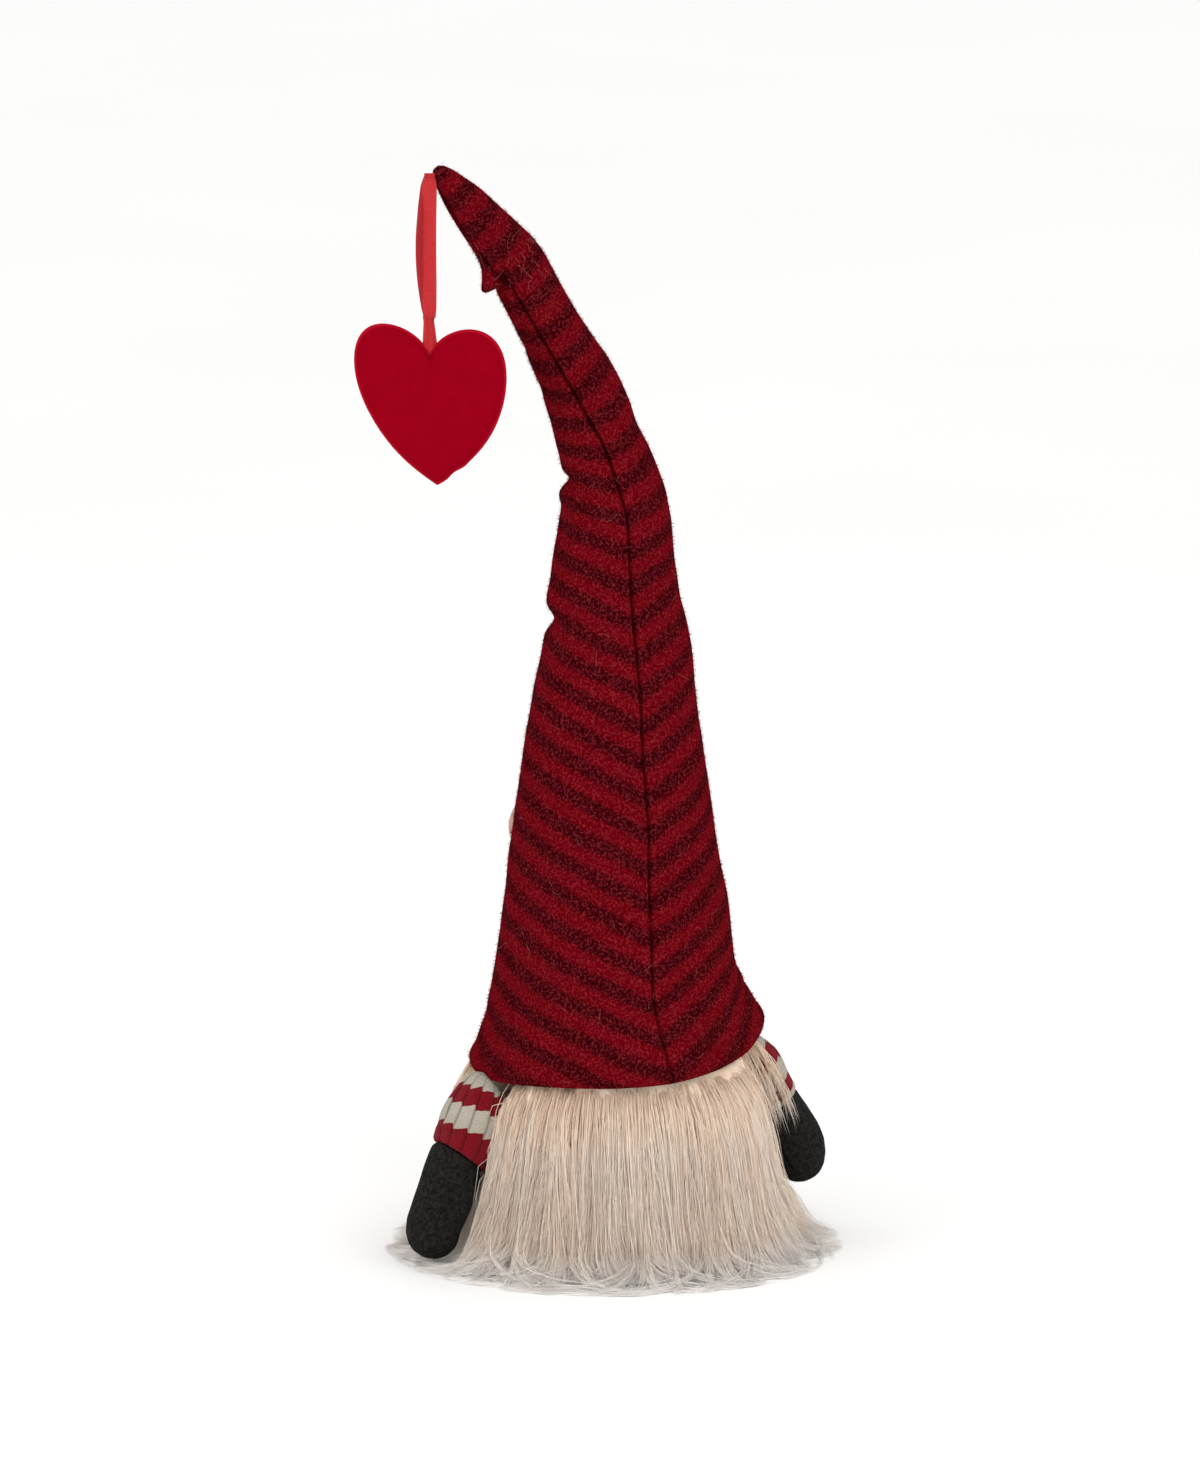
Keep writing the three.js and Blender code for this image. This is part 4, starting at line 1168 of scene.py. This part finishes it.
def beside_arms(points, gap):
    """Moves points that would be in an arm inward, and says which lie outside it."""
    points = points.copy()
    over = np.zeros(points.shape[:-1], bool)
    for arm in ARMS.values():
        along, outward, y = arm_frame(points, arm)
        reach = ARM_R + gap
        near = (along > -17) & (along < ARM_LENGTH + gap) & (np.abs(y) < reach)
        inner = -np.sqrt(np.clip((reach + arm["puff"]) ** 2 - y**2, 0, None))
        over |= near & (outward > 2) & (np.abs(y) < reach - 1.5)
        shift = np.where(near & (outward > inner), inner - outward, 0)
        tilt = math.radians(abs(arm["tilt"]))
        points[..., 0] += shift * math.cos(tilt) * arm["side"]
        points[..., 2] += np.maximum(shift * math.sin(tilt), 0.6 - points[..., 2])
    return points, over


def tucked(azimuth, z):
    """How far the fur sinks in behind the right arm."""
    behind = bell(degrees_from(np.degrees(azimuth), TUCK_TURN), 0, 26)
    return 6.5 * behind * ease(z, 14, 40) * (1 - ease(z, 70, 92))


def draped(profile, azimuth, start, length, layer, clump, draw, steps):
    """Strands that leave the backing and fall along a profile, drawn together in clumps."""
    count = len(azimuth)
    t = np.linspace(0, 1, steps)[None]
    run = start[:, None] + length[:, None] * t
    spot, outward = on_profile(profile, run)
    depth = layer[:, None] + (9 - layer[:, None]) * np.exp(-length[:, None] * t / 7)
    lift = np.clip(spot[..., 1] - 0.5, 0, None)
    depth = np.minimum(depth, np.where(spot[..., 0] > FLOOR_R, lift, depth))
    depth = depth + tucked(azimuth[:, None], spot[..., 1])
    flat = spot - outward * depth[..., None]
    pull, sway, sweep, phase = clump
    turn = azimuth[:, None] + pull[:, None] * t**1.4
    turn = turn + np.radians(sway)[:, None] * np.sin(2.2 * t + phase[:, None]) * t
    on_floor = np.clip(spot[..., 0] - FLOOR_R, 0, None)
    turn = turn + sweep[:, None] * on_floor**1.15 / 90
    wisp = draw.normal(0, 1, (2, count, 1)) * t**2
    turn = turn + 0.018 * wisp[0]
    r = flat[..., 0] + 0.8 * wisp[1]
    room = FUR_REACH - SPLAY_R
    r = np.where(r > SPLAY_R, SPLAY_R + room * np.tanh((r - SPLAY_R) / room), r)
    z = np.maximum(flat[..., 1] + 0.8 * draw.normal(0, 1, (count, 1)) * t**2, 0.5)
    return np.stack([r * np.cos(turn), r * np.sin(turn), z], -1)


def clumped(azimuth, spacing, radius, draw, tightness):
    """Each strand's pull toward its clump's middle, and the clump's own sway and sweep."""
    middles = np.sort(draw.uniform(-math.pi, math.pi, int(2 * math.pi * radius / spacing)))
    nearest = np.argmin(np.abs(azimuth[:, None] - middles[None]), 1)
    pull = (middles[nearest] - azimuth) * draw.uniform(*tightness, len(azimuth))
    sway = draw.normal(0, 2.8, len(middles))[nearest]
    sweep = draw.normal(0, 0.7, len(middles))[nearest]
    phase = draw.uniform(0, 6, len(middles))[nearest]
    tint = draw.uniform(0, 1, len(middles))[nearest] * 0.65 + draw.uniform(0, 0.35, len(azimuth))
    reach = (22 * draw.uniform(0, 1, len(middles)) ** 2.2 - 8)[nearest]
    return (pull, sway, sweep, phase), tint, reach


def strands(name, lines, width, tint, draw, body="gnome"):
    """Fur strands as one piece that rides on a body."""
    count, steps, _ = lines.shape
    t = np.linspace(0, 1, steps)[None]
    size = width * draw.uniform(0.7, 1.25, (count, 1))
    widths = size * (0.8 + 0.35 * np.sin(np.pi * np.clip(t * 1.3, 0, 1))) * (1 - 0.75 * t**2.5)
    marks = {"tint": tint, "tip": np.repeat(t, count, 0)}
    belongs(hairs(name, lines, widths, FUR, marks), body, "fur")


def arch_half(z):
    """Half the width of the hat's front opening at a height."""
    leg = np.interp(z, [ARCH_FOOT_Z, ARCH_Z], [ARCH_FOOT_X, ARCH_R])
    top = np.sqrt(np.clip(ARCH_R**2 - np.clip(z - ARCH_Z, 0, None) ** 2, 0, None))
    return np.where(z > ARCH_Z, top, leg)


def crowned(points):
    """Brings the beard down to the hat's surface toward the sides of the hat's opening."""
    x, y, z = points[..., 0], points[..., 1], points[..., 2]
    r = np.maximum(np.hypot(x, y), 1.0)
    hat = np.interp(z, [84, 113, 336], [63, 57.6, 24.7])
    share = np.clip(np.abs(x) / np.maximum(arch_half(np.clip(z, 80, 188)), 4), 0, 1)
    target = np.minimum(hat + 0.6 + (r - hat) * (1 - share**2), r)
    amount = ease(z, 62, 92)
    scale = (r + (target - r) * amount) / r
    return np.stack([x * scale, y * scale, z], -1)


def fur_pile(name, first, last, count, seed):
    """One side of the skirt: strands in two depths of clump, between two azimuths in degrees."""
    draw = np.random.default_rng(seed)
    azimuth = np.radians(draw.uniform(first, last, count))
    start = draw.uniform(0, 1, count) ** 0.85 * 100
    start = np.where(draw.random(count) < 0.30, draw.uniform(0, 14, count), start)
    fine = draw.random(count) < 0.5
    small, small_tint, reach = clumped(azimuth, 2.6, 74, draw, (0.2, 0.65))
    large, large_tint, _ = clumped(azimuth, 7.0, 74, draw, (0.1, 0.45))
    clump = tuple(np.where(fine, a, b) for a, b in zip(small, large))
    tint = np.where(fine, small_tint, large_tint)
    length = draw.uniform(42, 78, count)
    most = 101 + reach + draw.normal(0, 3, count)
    length = np.clip(np.minimum(length, most - start), 14, None)
    layer = np.abs(draw.normal(0, 1, count)) * 1.2 + 0.2
    fly = draw.random(count) < 0.05
    layer = np.where(fly, -draw.uniform(0.5, 4, count), layer)
    lines = draped(FUR_LINE, azimuth, start, length, layer, clump, draw, 8)
    lines, over = beside_arms(lines, ARM_CLEARANCE)
    keep = ~over.any(1)
    strands(name, lines[keep], SKIRT_STRAND_W, tint[keep], draw)


def fanned(lines, share):
    """Turns beard strands about Z as they fall, so that they spread as the opening does."""
    z = np.clip(lines[..., 2], ARCH_FOOT_Z, ARCH_TOP_Z)
    radius = np.interp(z, BEARD_LINE[::-1, 1], BEARD_LINE[::-1, 0])
    across = share[:, None] * (arch_half(z) - ARCH_EDGE)
    turn = np.arcsin(np.clip(across / radius, -0.98, 0.98))
    turn = 0.9 * (turn - turn[:, :1])
    cos, sin = np.cos(turn), np.sin(turn)
    x, y = lines[..., 0], lines[..., 1]
    return np.stack([x * cos - y * sin, x * sin + y * cos, lines[..., 2]], -1)


def beard_pile(name, side, count, seed):
    """Half of the beard: long strands from the hat's opening down to the floor."""
    draw = np.random.default_rng(seed)
    start = draw.uniform(0, 1, count) * 150 + 6
    spot, _ = on_profile(BEARD_LINE, start)
    z = np.maximum(spot[:, 1], ARCH_FOOT_Z)
    half = arch_half(np.minimum(z, ARCH_TOP_Z)) - ARCH_EDGE
    at_edge = draw.random(count) < 0.25
    share = np.where(at_edge, draw.uniform(0.8, 1.0, count), draw.uniform(-0.06, 1, count))
    x = side * share * half
    azimuth = np.arctan2(-np.sqrt(np.clip(spot[:, 0] ** 2 - x**2, 1, None)), x)
    clump, tint, reach = clumped(azimuth, 6.0, 70, draw, (0.2, 0.75))
    length = draw.uniform(60, 120, count)
    most = 200 + reach + draw.normal(0, 3, count)
    length = np.clip(np.minimum(length, most - start), 18, None)
    layer = np.abs(draw.normal(0, 1, count)) * 2.2 + 0.2
    lines = draped(BEARD_LINE, azimuth, start, length, layer, clump, draw, 9)
    lines = crowned(fanned(lines, side * share))
    centre, radius = nose_place()
    inside = np.linalg.norm(lines - centre, axis=-1) < radius + 0.4
    lines, over = beside_arms(lines, ARM_CLEARANCE)
    keep = ~(inside | over).any(1)
    strands(name, lines[keep], BEARD_STRAND_W, tint[keep], draw)


def fur_core():
    """The dense underfur: a thick ring inside the strands, from the hat down to the floor."""
    outer = [(56, 89), (61.5, 79), (68, 60), (71.8, 40), (75, 22), (78.5, 8), (83, 1.6)]
    inner = [(80, 0.9), (60, 1.0), (53, 4), (50, 30), (47.5, 60), (47, 89)]
    closed = np.array(outer + inner + outer[:1], float)
    steps = np.linalg.norm(np.diff(closed, axis=0), axis=1)
    lengths = np.concatenate([[0], np.cumsum(steps)])
    rows, columns = 90, 220
    run = np.linspace(0, lengths[-1], rows, endpoint=False)
    r = np.interp(run, lengths, closed[:, 0])[:, None]
    z = np.interp(run, lengths, closed[:, 1])[:, None]
    turn = around(columns)
    outside = ((run < lengths[len(outer)]) & (z[:, 0] > 2))[:, None]
    r = r + (0.9 * waves(turn * 74, z, 61, size=2.5) - tucked(turn, z)) * outside
    points = np.stack([r * np.cos(turn), r * np.sin(turn), z + 0 * turn], -1)
    points, _ = beside_arms(points, 2 * ARM_CLEARANCE)
    index = np.arange(rows * columns).reshape(rows, columns)
    index = np.concatenate([index, index[:1]])
    index = np.concatenate([index, index[:, :1]], 1)
    tint = 0.5 + 0.4 * waves(turn * 74, z * 0.2, 62, size=2.2)
    marks = {"tint": np.broadcast_to(tint, (rows, columns)).ravel()}
    marks["tip"] = np.full(rows * columns, CORE_TIP)
    core = make_mesh("fur_underlayer", points.reshape(-1, 3), quads_between(index), FUR, marks)
    belongs(core, "gnome", "fur", "fur_skirt")


def beard_core():
    """The beard's underfur, a thick shield that fills the hat's opening."""
    z = np.linspace(72, 186, 60)
    r_out = np.interp(z, [70, 78, 104, 152, 188], [66, 65, 60.5, 54, 47])
    r_in = np.interp(z, [72, 104, 150, 187], [58, 50, 42, 38])
    half = np.maximum(arch_half(np.clip(z, ARCH_FOOT_Z, ARCH_TOP_Z)) - 8.5, 3)
    share = np.linspace(-1, 1, 41)
    x = half[:, None] * share[None]
    front = -np.sqrt(np.clip(r_out[:, None] ** 2 - x**2, 1, None))
    back = -np.sqrt(np.clip(r_in[:, None] ** 2 - (x * 0.9) ** 2, 1, None))
    height = z[:, None] + 0 * x
    ring = np.concatenate(
        [np.stack([x, front, height], -1), np.stack([x * 0.9, back, height], -1)[:, ::-1]], 1
    )
    centre = np.array([0.0, -66.0, 180.0])
    gap = ring - centre
    away = np.linalg.norm(gap, axis=-1, keepdims=True)
    clear = 17.8  # keeps the shield off the nose
    ring = np.where(away < clear, centre + gap / away * clear, ring)
    marks = {"tint": 0.5, "tip": CORE_TIP}
    core, _ = closed_tube("beard_underlayer", crowned(ring)[::-1], FUR, marks)
    belongs(core, "gnome", "fur", "beard")


def arm_wisps(count, seed):
    """Fur that falls over the right sleeve and moves with the arm."""
    draw = np.random.default_rng(seed)
    arm = ARMS["right"]
    turn = np.radians(draw.uniform(-10, 118, count))
    start = draw.uniform(-7, 12, count)
    t = np.linspace(0, 1, 7)[None]
    length = draw.uniform(14, 34, count)
    along = start[:, None] + length[:, None] * t
    profile = [(-10, 2), (-6, 7), (-3, 9), (5, 11.4), (10, 12.5), (34, 12.6), (50, 13.3), (66, 11.6)]
    r = np.interp(along, *np.array(profile).T) + 0.3
    r = r + (draw.uniform(0.3, 3.2, count)[:, None]) * np.sin(np.pi * np.clip(t, 0, 1) * 0.8)
    middles = np.sort(draw.uniform(-0.2, 2.1, 16))
    nearest = middles[np.argmin(np.abs(turn[:, None] - middles[None]), 1)]
    angle = turn[:, None] + (nearest - turn)[:, None] * 0.6 * t - 0.25 * t**2
    angle = angle + 0.10 * draw.normal(0, 1, (count, 1)) * t**2
    local = np.stack([r * np.cos(angle), r * np.sin(angle), -along], -1)
    tint = draw.uniform(0.4, 1, count)
    strands("right_arm_fur", placed_arm(local, arm), SKIRT_STRAND_W, tint, draw, "right_arm")


DENSITY = 1.0
SKIRT_STRANDS, BEARD_STRANDS, ARM_STRANDS = 4800, 4300, 900  # the first two are for each piece
for index, (first, last) in enumerate([(-38, 26), (26, 90), (90, 154), (154, 218)]):
    fur_pile(f"fur_pile_{index + 1}", first, last, int(SKIRT_STRANDS * DENSITY), 201 + index)
for index, side in enumerate([-1, 1]):
    beard_pile(f"beard_pile_{index + 1}", side, int(BEARD_STRANDS * DENSITY), 211 + index)
fur_core()
beard_core()
arm_wisps(int(ARM_STRANDS * DENSITY), 221)

# ---------- materials of the CAD pieces that stay ----------


def moulded(name, dark, light, rough, gloss=0.0):
    """Moulded plastic with a fine spark-eroded grain."""
    s = Shader(name, Coat_Weight=gloss)
    grain = s.noise(2600.0, 2.0, 0.5)
    cloud = s.noise(40.0, 3.0)
    s.colour(s.mix(cloud, dark, light))
    s.roughness(s.spread(grain, 0, 1, rough - 0.06, rough + 0.08))
    s.bump(grain, 0.0002, 0.35)
    return s.material


def metal(name, tone, rough):
    """Plated or drawn metal with fine marks."""
    s = Shader(name, Metallic=1.0)
    marks = s.noise(1.0, 3.0, 0.6, s.stretched(s.place(), (300.0, 2400.0, 2400.0)))
    s.colour(s.mix(s.noise(220.0, 3.0), tone, srgb(206, 205, 202)))
    s.roughness(s.spread(marks, 0.3, 0.7, rough - 0.08, rough + 0.12))
    s.bump(marks, 0.0001, 0.3)
    return s.material


def woven():
    """Knitted backing cloth."""
    s = Shader("woven_backing", Roughness=0.95)
    place = s.node("SeparateXYZ", {0: s.place()})
    turn = s.math("ARCTAN2", place.outputs[1], place.outputs[0])
    warp = s.math("SINE", s.times(turn, 240.0))
    weft = s.math("SINE", s.times(place.outputs[2], 5400.0))
    weave = s.math("MULTIPLY_ADD", s.times(warp, weft), 0.5, 0.5)
    s.colour(s.mix(weave, srgb(176, 164, 146), srgb(222, 214, 198)))
    s.bump(weave, 0.0006, 0.8)
    return s.material


def frosted():
    """Frosted plastic that spreads the light."""
    s = Shader("frosted_plastic", Transmission_Weight=0.35, IOR=1.49)
    frost = s.noise(900.0, 3.0, 0.6)
    s.colour(s.mix(s.noise(18.0), srgb(232, 230, 222), srgb(244, 242, 236)))
    s.roughness(s.spread(frost, 0, 1, 0.45, 0.7))
    s.bump(frost, 0.0003, 0.4)
    return s.material


def banded(name, axis_scale, dark, light, rough):
    """A sleeve printed in two plain tones across one direction."""
    s = Shader(name, Coat_Weight=0.3)
    place = s.node("SeparateXYZ", {0: s.place()}).outputs[0]
    wave = s.math("SINE", s.times(place, axis_scale))
    s.colour(s.mix(s.smooth_step(wave, -0.05, 0.05), dark, light))
    scuff = s.noise(300.0, 4.0, 0.7)
    s.roughness(s.spread(scuff, 0, 1, rough - 0.1, rough + 0.15))
    s.bump(scuff, 0.0001, 0.3)
    return s.material


def circuit():
    """Green board with lighter tracks."""
    s = Shader("circuit_board", Roughness=0.4, Coat_Weight=0.4)
    tracks = s.node("TexBrick", {"Vector": s.place(), "Scale": 130.0, "Mortar Size": 0.03})
    s.colour(s.mix(tracks.outputs["Fac"], srgb(22, 84, 52), srgb(58, 132, 84)))
    s.bump(tracks.outputs["Fac"], 0.0001, 0.5)
    return s.material


def lamp():
    """A warm white lamp that is switched on."""
    s = Shader("warm_led", Roughness=0.2, Transmission_Weight=0.4)
    s.surface.inputs["Emission Color"].default_value = srgb(255, 196, 128)
    s.surface.inputs["Emission Strength"].default_value = 4.0
    s.colour(s.mix(s.noise(500.0), srgb(250, 226, 170), srgb(255, 240, 206)))
    return s.material


def dress_cad_nodes():
    """Gives each CAD piece that stays its own finish."""
    steel = metal("plated_steel", srgb(168, 168, 170), 0.32)
    white = moulded("white_plastic", srgb(214, 211, 204), srgb(228, 226, 220), 0.42, 0.1)
    black = moulded("black_plastic", srgb(22, 22, 24), srgb(36, 36, 38), 0.38)
    finishes = {
        "base_": white,
        "base_screw": steel,
        "battery_door": white,
        "battery_1": banded("cell_wrap", 190.0, srgb(40, 52, 66), srgb(196, 198, 200), 0.35),
        "contact_": steel,
        "switch_": black,
        "circuit_board": circuit(),
        "led_": lamp(),
        "wire_red": moulded("red_insulation", srgb(150, 12, 16), srgb(178, 22, 26), 0.45),
        "wire_black": moulded("black_insulation", srgb(18, 18, 18), srgb(34, 34, 34), 0.45),
        "hat_wire_": steel,
        "body_shell": frosted(),
        "fur_backing": woven(),
    }
    finishes["battery_2"] = finishes["battery_1"]
    for name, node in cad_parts.items():
        fits = [key for key in finishes if name.startswith(key)]
        if not fits:
            continue
        finish = finishes[max(fits, key=len)]
        if not node.material_slots:
            node.data.materials.append(finish)
        for slot in node.material_slots:
            slot.material = finish


dress_cad_nodes()

# ---------- stray fibres caught on the felt ----------


def lint(name, surface, count, seed, weights=None):
    """Long thin pale fibres lying on a felt surface, curled at random."""
    draw = np.random.default_rng(seed)
    points, quads, _ = surface
    centre = points[quads].mean(1)
    chance = np.ones(len(quads)) if weights is None else weights(centre)
    normal, area = quad_normals(points[quads])
    area = area * chance
    chosen = draw.choice(len(quads), count, p=area / area.sum())
    up = unit(normal[chosen])
    side = unit(np.cross(up, draw.normal(0, 1, (count, 3))))
    across = np.cross(up, side)
    t = np.linspace(0, 1, 9)[None]
    size = draw.uniform(2, 9, (count, 1)) * (t - 0.5)
    bow = draw.normal(0, 1, (2, count, 1))
    sway = bow[0] * 2.2 * np.sin(2.4 * t + bow[1] * 2)
    high = 0.5 + 0.8 * np.abs(np.sin(5 * t + bow[0] * 3))
    lines = centre[chosen][:, None] + side[:, None] * size[..., None]
    lines = lines + across[:, None] * sway[..., None] + up[:, None] * high[..., None]
    return hairs(name, lines, 0.07 * np.ones((count, 9)), LINT)


def lint_material():
    s = Shader("pale_lint", Roughness=0.8, Specular_IOR_Level=0.2)
    s.colour(s.mix(s.noise(300.0), srgb(140, 70, 68), srgb(186, 142, 132)))
    return s.material


LINT = lint_material()


def near_fold(centre):
    """More lint gathers round the fold."""
    x, z = middle_line(np.array([FELT_FOLD + 2.0]))[:2]
    distance = np.hypot(centre[:, 0] - x, centre[:, 2] - z)
    return 1 + 25 * np.exp(-((distance / 12) ** 2))


across_low_bend(lint("hat_lower_lint", lower_surface, 70, 301))
across_fold(lint("hat_upper_lint", upper_surface, 40, 302, near_fold))
heart_lint = lint("heart_lint", heart_surface, 16, 303)
belongs(heart_lint, "heart", "heart_felt")

# ---------- room ----------


LIGHT_AIM = (0, 0, 0.22)


def area_light(name, place, size, power):
    data = bpy.data.lights.new(name, "AREA")
    data.size = size
    data.energy = power
    made = bpy.data.objects.new(name, data)
    bpy.context.scene.collection.objects.link(made)
    made.location = place
    made.rotation_mode = "QUATERNION"
    made.rotation_quaternion = (Vector(LIGHT_AIM) - Vector(place)).to_track_quat("-Z", "Y")


def build_room():
    half = 6.0
    corners = [(-half, -half, 0), (half, -half, 0), (half, half, 0), (-half, half, 0)]
    points = np.array(corners) / MM
    s = Shader("pale_floor", Roughness=0.9)
    s.colour(s.mix(s.noise(3.0), srgb(248, 248, 247), srgb(253, 253, 252)))
    floor = make_mesh("floor", points, np.array([[0, 1, 2, 3]]), s.material, smooth=False)
    world = bpy.data.worlds.new("studio")
    bpy.context.scene.world = world
    world.use_nodes = True
    world.node_tree.nodes["Background"].inputs[0].default_value = (1, 1, 1, 1)
    world.node_tree.nodes["Background"].inputs[1].default_value = 1.0
    area_light("key", (0.2, 2.0, 1.5), 1.2, 14)
    area_light("side", (1.9, 0.3, 1.0), 1.0, 6)


build_room()
